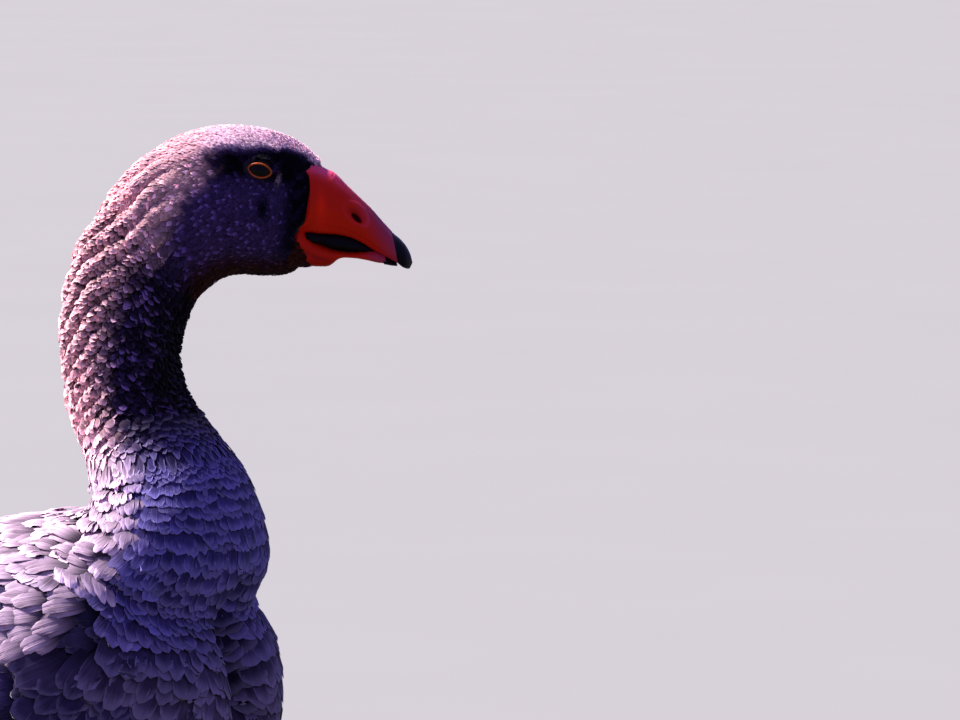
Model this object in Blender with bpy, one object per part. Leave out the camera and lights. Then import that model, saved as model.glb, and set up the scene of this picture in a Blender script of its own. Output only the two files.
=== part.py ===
"""A grey domestic goose, standing still with its head turned a little to its left.

Metres, +Z up, +X towards the breast, +Y the bird's left side. The origin is on the floor, under the
middle of the bird's bounding box. The feathered body is one surface, drawn as sections from the
bill's base to the end of the tail, and parted by thin gaps into head, neck, crop, breast, trunk, rump
and tail. The wings lie on it and the thighs grow out of it.
"""

import math

import bmesh
import bpy
import numpy as np
from mathutils import Matrix, Vector

MM = 0.001
GAP = 0.3 * MM  # clearance between two neighbouring solids
CUT_GAP = 0.8 * MM  # clearance to a curved cutter, whose facets cut across the real surface
CUTTER_POINTS = 40

HEAD_TURN = math.radians(22)  # the head looks this far to the bird's left
NECK_X = 105 * MM  # the upright line about which the neck turns

# Sections of the feathered body, from the bill's base to the tail's end, in millimetres. Each is a flat
# oval between a point on the back line and a point on the throat or belly line, both given as distance
# ahead of the neck's turning line and height above the floor. Then its half width, how far the widest
# line lies above (+) or below (-) the middle, and its squareness (2 is an ellipse).
SECTIONS = (
    # name            back            belly          half  high  square
    ("bill_base", (89.8, 529.5), (79.4, 479.7), 13.5, -0.05, 2.2),
    ("lores", (78.5, 539.4), (70.5, 476.4), 17.0, -0.12, 2.1),
    ("eye", (65.3, 545.0), (60.6, 476.0), 20.5, -0.16, 2.1),
    ("cheek", (50.3, 547.0), (51.0, 476.6), 23.0, -0.14, 2.1),
    ("ear", (35.2, 546.0), (42.8, 475.0), 24.5, -0.08, 2.0),
    ("occiput", (19.7, 541.2), (35.2, 469.8), 25.0, 0.0, 2.0),
    ("nape", (5.6, 532.5), (30.1, 464.2), 25.5, 0.05, 2.0),
    ("nape_low", (-7.0, 518.7), (26.8, 458.1), 26.0, 0.05, 2.0),
    ("neck_high", (-17.4, 505.1), (24.9, 451.5), 26.5, 0.0, 2.0),
    ("neck_bend", (-25.8, 491.4), (23.5, 444.9), 27.0, 0.0, 2.0),
    ("neck_back", (-31.5, 474.5), (23.0, 439.7), 27.5, 0.0, 2.0),
    ("neck_middle", (-34.8, 448.2), (23.2, 433.0), 28.0, 0.0, 2.0),
    ("neck_waist", (-33.2, 430.8), (25.0, 425.5), 28.5, 0.0, 2.0),
    ("neck_low", (-30.2, 416.7), (29.0, 417.0), 30.0, 0.0, 2.0),
    ("neck_foot", (-26.4, 402.6), (35.0, 407.5), 32.5, 0.0, 2.0),
    ("crop_top", (-21.6, 390.0), (44.0, 396.5), 37.0, 0.0, 2.0),
    ("crop_high", (-18.4, 376.5), (54.8, 382.0), 44.0, 0.0, 2.0),
    ("crop", (-19.0, 367.8), (60.6, 364.5), 53.5, 0.0, 2.0),
    ("crop_low", (-27.5, 363.6), (63.0, 341.0), 62.0, -0.05, 2.0),
    ("breast_waist", (-45.0, 360.8), (51.0, 315.0), 72.0, -0.1, 2.1),
    ("breast", (-73.0, 356.6), (62.0, 285.0), 88.0, -0.12, 2.1),
    ("keel", (-106.0, 348.5), (60.0, 247.0), 99.0, -0.08, 2.2),
    ("shoulder", (-142.0, 340.0), (49.0, 206.0), 106.0, 0.0, 2.3),
    ("flank", (-180.0, 330.0), (16.0, 165.0), 110.0, 0.0, 2.3),
    ("saddle", (-218.0, 317.5), (-38.0, 132.0), 110.0, 0.0, 2.3),
    ("loin", (-254.0, 303.5), (-105.0, 118.0), 105.0, 0.0, 2.3),
    ("paunch", (-287.0, 290.0), (-172.0, 121.0), 94.0, 0.04, 2.2),
    ("vent", (-317.0, 278.0), (-236.0, 146.0), 78.0, 0.08, 2.2),
    ("rump", (-343.0, 268.5), (-290.0, 180.0), 60.0, 0.1, 2.2),
    ("tail_root", (-367.0, 261.0), (-341.0, 212.0), 48.0, 0.1, 2.1),
    ("tail_coverts", (-392.0, 256.0), (-383.0, 232.0), 47.0, 0.0, 2.0),
    ("tail_vane", (-418.0, 252.5), (-416.0, 244.5), 54.0, 0.0, 2.0),
    ("tail_end", (-442.0, 250.5), (-442.0, 247.0), 62.0, 0.0, 2.0),
)
TAIL_BOW = 20.0  # the tail's outer feathers end this far ahead of its middle ones
CLEFT_DEEP, CLEFT_WIDE = 11.0, 0.2  # the parting down the middle of the breast: depth and half angle

# Each node of the body: its last section, how many rings it has, and how many points round each.
BODY_NODES = (
    ("head", "occiput", 12, 28),
    ("neck_upper", "neck_back", 9, 24),
    ("neck_lower", "crop_top", 9, 24),
    ("crop", "breast_waist", 8, 28),
    ("breast", "shoulder", 7, 32),
    ("trunk", "vent", 11, 32),
    ("rump", "tail_root", 5, 24),
    ("tail", "tail_end", 6, 24),
)

# The bill, from its base to the nail, in the same millimetres: top and bottom of each section, half width.
UPPER_BILL = (
    ((89.6, 528.6), (83.0, 497.1), 12.6),
    ((94.0, 523.4), (86.9, 496.4), 12.4),
    ((100.1, 516.6), (94.5, 496.1), 12.0),
    ((106.2, 510.4), (102.0, 494.7), 11.5),
    ((111.9, 505.0), (108.1, 491.9), 11.0),
    ((117.0, 500.2), (113.7, 488.5), 10.6),
    ((121.6, 496.2), (124.6, 482.6), 10.0),
)
UPPER_NAIL = (
    ((121.9, 496.2), (125.0, 482.2), 9.8),
    ((125.9, 493.0), (126.4, 480.6), 8.6),
    ((128.9, 489.2), (128.1, 479.8), 6.6),
    ((130.6, 485.4), (129.2, 479.5), 4.0),
    ((131.3, 482.3), (130.0, 479.6), 1.6),
)
LOWER_BILL = (
    ((82.7, 495.4), (79.9, 482.0), 11.4),
    ((86.9, 492.1), (87.0, 480.6), 11.2),
    ((91.6, 490.0), (92.8, 481.2), 10.8),
    ((94.9, 489.0), (96.3, 484.1), 10.6),
    ((102.9, 487.7), (102.9, 484.9), 10.2),
    ((109.5, 487.6), (110.0, 483.8), 9.8),
    ((114.2, 487.4), (115.1, 482.6), 9.4),
)
LOWER_NAIL = (
    ((114.5, 487.0), (115.4, 482.5), 9.2),
    ((119.6, 484.4), (120.3, 481.4), 8.2),
    ((123.4, 482.0), (124.2, 480.9), 6.4),
)
# The dark comb of fine plates that shows between the two halves of the bill.
COMB = (
    ((84.0, 496.4), (83.9, 495.4), 10.6),
    ((86.2, 496.1), (86.2, 493.2), 10.8),
    ((89.0, 495.9), (89.0, 491.6), 10.7),
    ((94.9, 495.6), (94.9, 489.5), 10.3),
    ((99.6, 494.9), (99.6, 488.6), 9.9),
    ((104.3, 493.4), (104.3, 488.1), 9.5),
    ((109.0, 491.0), (109.0, 488.1), 9.1),
    ((112.4, 488.9), (112.4, 488.0), 8.8),
)
BILL_RING = 16

EYE_AHEAD, EYE_HEIGHT = 60.2 * MM, 526.7 * MM
EYE_RADIUS = 6.9 * MM
SOCKET_GAP = 0.5 * MM
EYE_SIDE = 12.2 * MM  # from the head's middle to the eyeball's middle

# A folded wing seen from the side: distance ahead of the legs and height, along its two edges.
WING_TOP = ((133, 321), (116, 341), (72, 349), (10, 341), (-60, 321), (-130, 297), (-205, 273))
WING_FOOT = ((131, 303), (116, 262), (70, 232), (0, 215), (-70, 208), (-140, 216), (-205, 233))
WING_THICK = 9 * MM
WING_SINK = 5 * MM  # the raw wing starts this far inside the body, before it is cut to it
WING_RINGS, WING_ACROSS = 16, 8

# The folded primaries of one side, behind the wing: middle of the blade (ahead, left, up), half width of
# the blade and how far it leans from upright towards flat, in degrees.
PRIMARIES = (
    ((-207, 70, 252), 18.5, 33),
    ((-228, 61, 254), 18.0, 42),
    ((-255, 48, 255), 15.5, 56),
    ((-283, 33, 257), 11.5, 70),
    ((-306, 21, 257.5), 7.5, 80),
    ((-322, 13, 257.5), 3.0, 85),
)
PRIMARIES_THICK = 4.0

# Legs, left side, in millimetres.
HIP = (-5, 54, 182)
HOCK = (-47, 49, 93)
ANKLE = (-32, 52, 15)
THIGH_WIDE, THIGH_DEEP = (27, 9.0), (37, 10.0)  # half sizes at the hip and at the hock
SHANK_RADIUS = (7.4, 5.2, 5.6, 6.6)  # at the hock, below it, above the foot and at the foot
TOES = (("inner", -25, 66), ("middle", 3, 86), ("outer", 30, 76))  # name, degrees outwards, length
TOE_RADIUS = (5.8, 3.6)
ANKLE_RADIUS = 7.6
WEB_THICK = 2.4
WEB_REACH = 0.86  # where the web leaves the toe, as a share of the toe's length
CLAW_LENGTH, CLAW_RADIUS = 10.0, 2.6
HIND_TOE = ((-39.6, 46.5, 15.5), (-54.0, 41.5, 7.0))
HIND_TOE_RADIUS = (3.6, 2.6)

COLOURS = {
    "plumage": (0.20, 0.17, 0.27),
    "head_plumage": (0.11, 0.09, 0.16),
    "bill": (0.62, 0.06, 0.03),
    "horn": (0.012, 0.012, 0.02),
    "eye": (0.02, 0.012, 0.01),
    "leg": (0.72, 0.20, 0.05),
}
ROUGHNESS = {"plumage": 0.8, "head_plumage": 0.8, "bill": 0.42, "horn": 0.3, "eye": 0.08, "leg": 0.55}


def clear_scene():
    for thing in list(bpy.data.objects):
        bpy.data.objects.remove(thing, do_unlink=True)


def material(slot):
    found = bpy.data.materials.get(slot)
    if found:
        return found
    made = bpy.data.materials.new(slot)
    made.use_nodes = True
    shader = made.node_tree.nodes["Principled BSDF"]
    shader.inputs["Base Color"].default_value = (*COLOURS[slot], 1)
    shader.inputs["Roughness"].default_value = ROUGHNESS[slot]
    return made


def smooth_curve(knots, values, at):
    """A curve through the values: between two knots it is a cubic whose slopes come from the neighbours."""
    knots, values, at = np.asarray(knots, float), np.asarray(values, float), np.asarray(at, float)
    slope = np.gradient(values, knots)
    i = np.clip(np.searchsorted(knots, at, side="right") - 1, 0, len(knots) - 2)
    step = knots[i + 1] - knots[i]
    u = (at - knots[i]) / step
    return (
        (2 * u**3 - 3 * u**2 + 1) * values[i]
        + (u**3 - 2 * u**2 + u) * step * slope[i]
        + (3 * u**2 - 2 * u**3) * values[i + 1]
        + (u**3 - u**2) * step * slope[i + 1]
    )


SECTION_NAMES = [s[0] for s in SECTIONS]
BACK_LINE = np.array([s[1] for s in SECTIONS], float)
BELLY_LINE = np.array([s[2] for s in SECTIONS], float)
STEPS = (np.hypot(*np.diff(BACK_LINE, axis=0).T) + np.hypot(*np.diff(BELLY_LINE, axis=0).T)) / 2
ALONG = np.concatenate([[0], np.cumsum(STEPS)])  # how far along the body each section lies
PLAN = np.column_stack([BACK_LINE, BELLY_LINE, np.array([s[3:] for s in SECTIONS], float)])


def place(name):
    """How far along the body a named section lies."""
    return ALONG[SECTION_NAMES.index(name)]


def turn_at(along):
    """The head's turn is spent evenly between the top of the neck and the crop."""
    share = np.clip((place("crop") - along) / (place("crop") - place("neck_high")), 0, 1)
    return HEAD_TURN * share * share * (3 - 2 * share)


def body_point(along, angle, grow=0.0):
    """Points of the feathered surface, in metres before centring. angle runs from the back line down the left side.

    A section's oval is a superellipse between its back and belly points, with its sides slid up or down.
    grow widens the oval by that many metres on every side."""
    along, angle = np.broadcast_arrays(np.asarray(along, float), np.asarray(angle, float))
    back_x, back_z, belly_x, belly_z, half, high, square = (smooth_curve(ALONG, PLAN[:, k], along) for k in range(7))
    half = half + grow / MM
    tall = np.hypot(back_x - belly_x, back_z - belly_z)
    stretch = 1 + 2 * grow / MM / tall
    up, side = np.cos(angle), np.sin(angle)
    up = np.sign(up) * np.abs(up) ** (2 / square)
    side = np.sign(side) * np.abs(side) ** (2 / square)
    level = (up + high * (1 - up * up)) * stretch / 2
    ahead = (back_x + belly_x) / 2 + (back_x - belly_x) * level
    height = (back_z + belly_z) / 2 + (back_z - belly_z) * level
    fan = np.clip((along - place("tail_root")) / (place("tail_end") - place("tail_root")), 0, 1)
    ahead = ahead + TAIL_BOW * fan * side * side
    reach = np.clip(1 - np.abs(along - place("breast")) / (place("keel") - place("breast_waist")) * 1.6, 0, 1)
    ahead = ahead - CLEFT_DEEP * reach * np.exp(-(((angle - np.pi) / CLEFT_WIDE) ** 2))
    left = half * side
    turn = turn_at(along)
    return np.stack(
        [
            NECK_X + (ahead * np.cos(turn) - left * np.sin(turn)) * MM,
            (ahead * np.sin(turn) + left * np.cos(turn)) * MM,
            height * MM,
        ],
        axis=-1,
    )


def head_place(ahead, left, height):
    """A point of the turned head, from millimetres ahead of the neck's turning line, to its left and up."""
    return Vector(
        (
            NECK_X + (ahead * math.cos(HEAD_TURN) - left * math.sin(HEAD_TURN)) * MM,
            (ahead * math.sin(HEAD_TURN) + left * math.cos(HEAD_TURN)) * MM,
            height * MM,
        )
    )


def solid_from_rings(name, rings, slot, smooth=60):
    """A closed solid: the rings are joined one to the next, and the first and last are capped."""
    mesh = bmesh.new()
    loops = [[mesh.verts.new(p) for p in ring] for ring in rings]
    for first, second in zip(loops, loops[1:]):
        for k in range(len(first)):
            j = (k + 1) % len(first)
            mesh.faces.new((first[k], first[j], second[j], second[k]))
    caps = [mesh.faces.new(loops[0][::-1]), mesh.faces.new(loops[-1])]
    bmesh.ops.triangulate(mesh, faces=caps)
    return finish_solid(name, mesh, slot, smooth)


def finish_solid(name, mesh, slot, smooth=60):
    bmesh.ops.recalc_face_normals(mesh, faces=mesh.faces)
    data = bpy.data.meshes.new(name)
    mesh.to_mesh(data)
    mesh.free()
    data.shade_smooth()
    data.set_sharp_from_angle(angle=math.radians(smooth))
    data.materials.append(material(slot))
    made = bpy.data.objects.new(name, data)
    bpy.context.scene.collection.objects.link(made)
    return made


def as_cutter(made):
    made.hide_render = True
    made.display_type = "WIRE"
    return made


def cut(target, cutter, operation="DIFFERENCE"):
    """Applies a Boolean to target at once, so that a later cut works on its result."""
    modifier = target.modifiers.new(cutter.name, "BOOLEAN")
    modifier.operation = operation
    modifier.solver = "EXACT"
    modifier.object = cutter
    bpy.context.view_layer.update()
    graph = bpy.context.evaluated_depsgraph_get()
    data = bpy.data.meshes.new_from_object(target.evaluated_get(graph))
    target.modifiers.remove(modifier)
    target.data = data
    return target


def body_rings(first, last, rings, points, grow=0.0, extra=0):
    """Rings of the body between two places; the first is set back by the gap, so that neighbours don't touch."""
    angles = np.linspace(0, 2 * np.pi, points, endpoint=False)
    places = np.linspace(first, last, rings)
    made = [body_point(np.full(points, p), angles, grow) for p in places]
    across = made[0][points // 4] - made[0][0]
    down = made[0][points // 2] - made[0][0]
    normal = np.cross(across, down)
    normal /= np.linalg.norm(normal)
    if normal @ (made[1].mean(0) - made[0].mean(0)) < 0:
        normal = -normal
    made[0] = made[0] + normal * (GAP - extra)
    return made


def make_body():
    """Head, neck, crop, breast, trunk, rump and tail, one solid each."""
    first = 0.0
    for name, last_section, rings, points in BODY_NODES:
        last = place(last_section)
        slot = "head_plumage" if name == "head" else "plumage"
        solid_from_rings(name, body_rings(first, last, rings, points), slot)
        first = last


def make_body_cutter():
    """The body from crop to tail in one piece, a little fatter, for cutting what lies against it."""
    angles = np.linspace(0, 2 * np.pi, CUTTER_POINTS, endpoint=False)
    places, first = [], 0.0
    for name, last_section, rings, _ in BODY_NODES:
        if first >= place("crop_top"):
            places += list(np.linspace(first, place(last_section), rings)[:-1])
        first = place(last_section)
    rings = [body_point(np.full(CUTTER_POINTS, p), angles, CUT_GAP) for p in (*places, first)]
    return as_cutter(solid_from_rings("body_cutter", rings, "plumage"))


def bill_rings(sections, arch):
    """Rings of one bill piece. arch above 0 rounds its top and leaves its foot flat; below 0 the other way up."""
    rings = []
    angles = np.linspace(0, 2 * math.pi, BILL_RING, endpoint=False)
    for top, foot, half in sections:
        ring = []
        for a in angles:
            up, side = math.cos(a), math.sin(a)
            level = 0.5 + 0.5 * up
            if arch > 0:
                level = level**0.8
                wide = half * np.sign(side) * abs(side) ** 0.75 * (1 - 0.22 * max(up, 0))
            elif arch < 0:
                level = level**1.4
                wide = half * np.sign(side) * abs(side) ** 0.7
            else:
                wide = half * np.sign(side) * abs(side) ** 0.6
            ring.append(
                head_place(foot[0] + (top[0] - foot[0]) * level, wide, foot[1] + (top[1] - foot[1]) * level)
            )
        rings.append(ring)
    return rings


def set_back(rings, distance):
    """The first ring moved towards the second by the gap."""
    ahead = (sum(rings[1], Vector()) / len(rings[1]) - sum(rings[0], Vector()) / len(rings[0])).normalized()
    rings[0] = [p + ahead * distance for p in rings[0]]
    return rings


def make_bill():
    solid_from_rings("bill_upper", set_back(bill_rings(UPPER_BILL, 1), 2 * GAP), "bill")
    solid_from_rings("bill_nail", set_back(bill_rings(UPPER_NAIL, 1), GAP), "horn")
    solid_from_rings("bill_lower", set_back(bill_rings(LOWER_BILL, -1), 2 * GAP), "bill")
    solid_from_rings("bill_nail_lower", set_back(bill_rings(LOWER_NAIL, -1), GAP), "horn")
    solid_from_rings("bill_comb", bill_rings(COMB, 0), "horn")


def ball(name, centre, radius, slot, segments=12):
    mesh = bmesh.new()
    bmesh.ops.create_uvsphere(mesh, u_segments=segments, v_segments=segments * 2 // 3, radius=radius)
    bmesh.ops.translate(mesh, verts=mesh.verts, vec=centre)
    return finish_solid(name, mesh, slot)


def make_eyes():
    """Eyeballs in sockets cut into the head."""
    head = bpy.data.objects["head"]
    for side, sign in (("left", 1), ("right", -1)):
        centre = head_place(EYE_AHEAD / MM, sign * EYE_SIDE / MM, EYE_HEIGHT / MM)
        ball(f"eye_{side}", centre, EYE_RADIUS, "eye")
        cut(head, as_cutter(ball(f"socket_{side}", centre, EYE_RADIUS + SOCKET_GAP, "eye", 15)))


def side_surface(ahead, height):
    """(point, outward normal) of the body's left side at places given in a side view, in metres."""
    along = np.linspace(place("crop_top"), place("tail_end"), 500)[:, None]
    angle = np.linspace(0.02, np.pi - 0.02, 240)[None, :]
    grid = body_point(along, angle)
    by_along = np.gradient(grid, axis=0)
    by_angle = np.gradient(grid, axis=1)
    normal = np.cross(by_along, by_angle)
    normal /= np.linalg.norm(normal, axis=-1, keepdims=True)
    normal[normal[..., 1] < 0] *= -1
    grid, normal = grid.reshape(-1, 3), normal.reshape(-1, 3)
    points, normals = [], []
    for x, z in zip(np.ravel(ahead), np.ravel(height)):
        near = np.argsort((grid[:, 0] - x) ** 2 + (grid[:, 2] - z) ** 2)[:6]
        points.append([x, grid[near, 1].mean(), z])
        normals.append(normal[near].mean(0))
    return np.array(points), np.array(normals)


def edge_curve(points, count):
    """A smooth line through points of a side view, with count places along it, closer at its ends."""
    points = np.array(points, float) * MM
    knots = np.concatenate([[0], np.cumsum(np.hypot(*np.diff(points, axis=0).T))])
    share = (1 - np.cos(np.linspace(0, np.pi, count))) / 2
    at = knots[-1] * (0.35 * share + 0.65 * np.linspace(0, 1, count))
    return np.column_stack([smooth_curve(knots, points[:, k], at) for k in range(2)])


def make_wing(side, sign, cutter):
    """A folded wing: a shell laid on the body's side, thick in the middle and thin at its edges."""
    top, foot = edge_curve(WING_TOP, WING_RINGS), edge_curve(WING_FOOT, WING_RINGS)
    across = np.linspace(0, 1, WING_ACROSS)
    places = top[:, None, :] * (1 - across[None, :, None]) + foot[:, None, :] * across[None, :, None]
    points, normals = side_surface(places[..., 0], places[..., 1])
    normals /= np.linalg.norm(normals, axis=1, keepdims=True)
    along = np.linspace(0, 1, WING_RINGS)[:, None]
    crown = (1 - (2 * across[None, :] - 1) ** 4) * (1 - np.abs(2 * along - 0.8).clip(0, 1.2) ** 4 / 2.8)
    thick = 0.0012 + (WING_THICK - 0.0012) * crown.ravel()[:, None]
    outer = (points + normals * thick).reshape(WING_RINGS, WING_ACROSS, 3)
    inner = (points - normals * WING_SINK).reshape(WING_RINGS, WING_ACROSS, 3)
    rings = [np.concatenate([outer[i], inner[i, ::-1]]) * (1, sign, 1) for i in range(WING_RINGS)]
    return cut(solid_from_rings(f"wing_{side}", rings, "plumage"), cutter)


def make_primaries(side, sign, cutter):
    """The wing's long tip feathers, laid together as one blade over the rump."""
    rings = []
    for (x, y, z), half, lean in PRIMARIES:
        tilt = math.radians(lean)
        wide = Vector((0, -math.sin(tilt), math.cos(tilt)))
        thick = Vector((0, math.cos(tilt), math.sin(tilt)))
        ring = []
        for k in range(12):
            a = 2 * math.pi * k / 12
            p = Vector((x, y, z)) + wide * half * math.cos(a) + thick * PRIMARIES_THICK / 2 * math.sin(a)
            ring.append(Vector((p.x, p.y * sign, p.z)) * MM)
        rings.append(ring)
    return cut(solid_from_rings(f"primaries_{side}", rings, "plumage"), cutter)


def tube_rings(path, radii, points=12):
    """Round rings along a line of points, each square to the line there."""
    rings = []
    for i, (p, r) in enumerate(zip(path, radii)):
        ahead = (path[min(i + 1, len(path) - 1)] - path[max(i - 1, 0)]).normalized()
        side = ahead.cross(Vector((1, 0, 0)) if abs(ahead.x) < 0.7 else Vector((0, 0, 1))).normalized()
        up = side.cross(ahead)
        wide, deep = r if isinstance(r, tuple) else (r, r)
        turns = [2 * math.pi * k / points for k in range(points)]
        rings.append([p + side * wide * math.cos(a) + up * deep * math.sin(a) for a in turns])
    return rings


def make_thigh(side, sign, cutter):
    """The feathered drumstick, from the belly down to the hock."""
    hip, hock = (Vector((x, y * sign, z)) * MM for x, y, z in (HIP, HOCK))
    rings = 9
    path = [hip.lerp(hock, k / (rings - 1)) for k in range(rings)]
    sizes = []
    for k in range(rings):
        share = (k / (rings - 1)) ** 1.25
        taper = 1 - share
        sizes.append(
            tuple((low + (high - low) * taper) * MM for high, low in (THIGH_WIDE, THIGH_DEEP))
        )
    return cut(solid_from_rings(f"thigh_{side}", tube_rings(path, sizes, 16), "plumage"), cutter)


def make_shank(side, sign):
    """The bare scaled shank, from the hock down to the foot."""
    hock, ankle = (Vector((x, y * sign, z)) * MM for x, y, z in (HOCK, ANKLE))
    thigh_way = (hock - Vector((HIP[0], HIP[1] * sign, HIP[2])) * MM).normalized()
    start, end = hock + thigh_way * 2 * GAP, ankle + Vector((0, 0, 2 * GAP))
    path = [start, start + thigh_way * 4.5 * MM]
    path += [start.lerp(end, s) for s in (0.18, 0.36, 0.75, 0.94)]
    path += [end + Vector((0, 0, 1.5 * MM)), end]
    hock_r, below, above, foot_r = (r * MM for r in SHANK_RADIUS)
    radii = [hock_r * 0.8, hock_r, hock_r, below, above, foot_r, foot_r, foot_r * 0.9]
    return solid_from_rings(f"shank_{side}", tube_rings(path, radii), "leg")


def toe_way(sign, degrees_out):
    turn = math.radians(degrees_out) * sign
    return Vector((math.cos(turn), math.sin(turn), 0))


def make_foot(side, sign):
    """Three toes and the web between them, flat underneath, under a rounded ankle."""
    root = Vector((ANKLE[0] + 1, ANKLE[1] * sign, 0)) * MM
    pieces = []
    for name, degrees_out, length in TOES:
        way = toe_way(sign, degrees_out)
        path, radii = [], []
        for k in range(5):
            share = k / 4
            radius = (TOE_RADIUS[0] + (TOE_RADIUS[1] - TOE_RADIUS[0]) * share) * MM
            path.append(root + way * (share * length * MM - 2 * MM) + Vector((0, 0, radius * 0.9)))
            radii.append((radius, radius))
        pieces.append(solid_from_rings(f"toe_{name}", tube_rings(path, radii, 10), "leg"))
        tip = path[-1] + way * 2 * GAP
        end = tip + way * CLAW_LENGTH * MM - Vector((0, 0, 2.2 * MM))
        make_claw(f"claw_{name}_{side}", [tip, tip + way * 4 * MM, end])
    pieces.append(make_web(side, sign, root))
    pieces.append(ball("ankle", root + Vector((-1, 0, ANKLE[2] - ANKLE_RADIUS)) * MM, ANKLE_RADIUS * MM, "leg", 12))
    foot = pieces[0]
    foot.name = f"foot_{side}"
    for other in pieces[1:]:
        cut(foot, as_cutter(other), "UNION")
    floor = box("floor", Vector((0, 0, -20)) * MM, Vector((400, 400, 40)) * MM)
    cut(foot, floor)
    return foot


def make_claw(name, path):
    """A claw: a short blunt cone that starts against the end of its toe."""
    radii = [CLAW_RADIUS * share * MM for share in (1, 0.9, 0.3)]
    return solid_from_rings(name, tube_rings(path, radii, 8), "horn")


def make_hind_toe(side, sign):
    """The small hind toe, which hangs behind the ankle and clears the ground."""
    start, end = (Vector((x, y * sign, z)) * MM for x, y, z in HIND_TOE)
    way = (end - start).normalized()
    radii = [HIND_TOE_RADIUS[0] * MM * 0.7, HIND_TOE_RADIUS[0] * MM, HIND_TOE_RADIUS[1] * MM]
    solid_from_rings(f"hind_toe_{side}", tube_rings([start, start.lerp(end, 0.3), end], radii, 8), "leg")
    tip = end + way * GAP
    make_claw(f"claw_hind_{side}", [tip, tip + way * 2.5 * MM, tip + way * 5.5 * MM])


def box(name, centre, size):
    mesh = bmesh.new()
    bmesh.ops.create_cube(mesh, size=1)
    bmesh.ops.scale(mesh, vec=size, verts=mesh.verts)
    bmesh.ops.translate(mesh, vec=centre, verts=mesh.verts)
    return as_cutter(finish_solid(name, mesh, "leg"))


def make_web(side, sign, root):
    """The web: a thin sheet from the root to the toes, its front edge hollow between each two of them."""
    edge = [root - toe_way(sign, 4) * 2 * MM]
    for (_, a, la), (_, b, lb) in zip(TOES, TOES[1:]):
        for k in range(7):
            share = k / 6
            hollow = 1 - 0.55 * share * (1 - share)
            reach = (la + (lb - la) * share) * WEB_REACH * hollow
            edge.append(root + toe_way(sign, a + (b - a) * share) * reach * MM)
    rings = [[p + Vector((0, 0, h * MM)) for p in edge] for h in (-0.5, WEB_THICK)]
    return solid_from_rings("web", rings, "leg")


def make_parts():
    make_body()
    make_bill()
    make_eyes()
    cutter = make_body_cutter()
    for side, sign in (("left", 1), ("right", -1)):
        make_wing(side, sign, cutter)
        make_primaries(side, sign, cutter)
        make_thigh(side, sign, cutter)
        make_shank(side, sign)
        make_foot(side, sign)
        make_hind_toe(side, sign)


def centre_on_origin():
    """Moves every solid so that the origin is under the middle of the whole bird's box."""
    solids = [thing for thing in bpy.data.objects if not thing.hide_render]
    corners = np.concatenate([np.array([v.co for v in thing.data.vertices]) for thing in solids])
    low, high = corners.min(0), corners.max(0)
    middle = Vector(((low[0] + high[0]) / 2, (low[1] + high[1]) / 2, low[2]))
    for thing in bpy.data.objects:
        thing.data.transform(Matrix.Translation(-middle))


clear_scene()
make_parts()
centre_on_origin()
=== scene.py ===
"""Domestic goose: the looks of a still, life-size model.

A goose stands with its head up and turned a little to its left. The body is one swept surface, whose ovals
follow the back and belly lines; everything feathered is laid on that surface as thin closed vanes.
Lengths are metres, in the frame of the packed model; a few shape tables are in millimetres, as marked.
"""

import math

import bpy
import numpy as np
from mathutils import Matrix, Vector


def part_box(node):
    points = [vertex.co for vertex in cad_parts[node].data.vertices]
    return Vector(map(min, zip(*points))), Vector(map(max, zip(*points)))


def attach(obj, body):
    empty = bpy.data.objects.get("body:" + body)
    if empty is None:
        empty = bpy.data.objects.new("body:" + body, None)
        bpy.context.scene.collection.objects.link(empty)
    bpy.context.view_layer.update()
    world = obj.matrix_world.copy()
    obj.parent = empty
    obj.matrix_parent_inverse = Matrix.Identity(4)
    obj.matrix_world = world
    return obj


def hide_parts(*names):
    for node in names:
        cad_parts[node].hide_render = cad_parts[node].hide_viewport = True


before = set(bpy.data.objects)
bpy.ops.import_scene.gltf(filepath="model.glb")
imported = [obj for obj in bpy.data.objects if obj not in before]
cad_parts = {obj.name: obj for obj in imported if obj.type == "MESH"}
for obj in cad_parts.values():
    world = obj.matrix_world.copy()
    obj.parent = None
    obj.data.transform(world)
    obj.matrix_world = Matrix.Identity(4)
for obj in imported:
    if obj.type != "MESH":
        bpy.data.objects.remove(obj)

bl_info = {
    "name": "Domestic Goose",
    "version": (1, 0, 0),
    "blender": (4, 5, 0),
    "location": "View3D > Sidebar > Goose",
    "description": "Builds the plumage, bill, eyes and feet of a life-size goose round its packed frame",
    "category": "Object",
}

MM = 0.001
TURN = 2 * math.pi
SIDES = (("left", 1), ("right", -1))
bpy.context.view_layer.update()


# ---------------------------------------------------------------- the body's shape

HEAD_TURN = math.radians(22)  # the head looks this far to the bird's left
HEAD_COS, HEAD_SIN = math.cos(HEAD_TURN), math.sin(HEAD_TURN)
HEAD_AHEAD, HEAD_LEFT = np.array([HEAD_COS, HEAD_SIN, 0.0]), np.array([-HEAD_SIN, HEAD_COS, 0.0])
UP = np.array([0.0, 0.0, 1.0])
EYE_AHEAD = 60.2  # millimetres ahead of the neck's line
EYE_RADIUS = 6.9 * MM
EYE = {side: np.mean(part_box(f"eye_{side}"), axis=0) for side, _ in SIDES}
NECK_X = (EYE["left"][0] + EYE["right"][0]) / 2 - EYE_AHEAD * MM * HEAD_COS
LOCAL_X = NECK_X - 105 * MM  # where millimetre tables in the body's own frame have their zero

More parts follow.
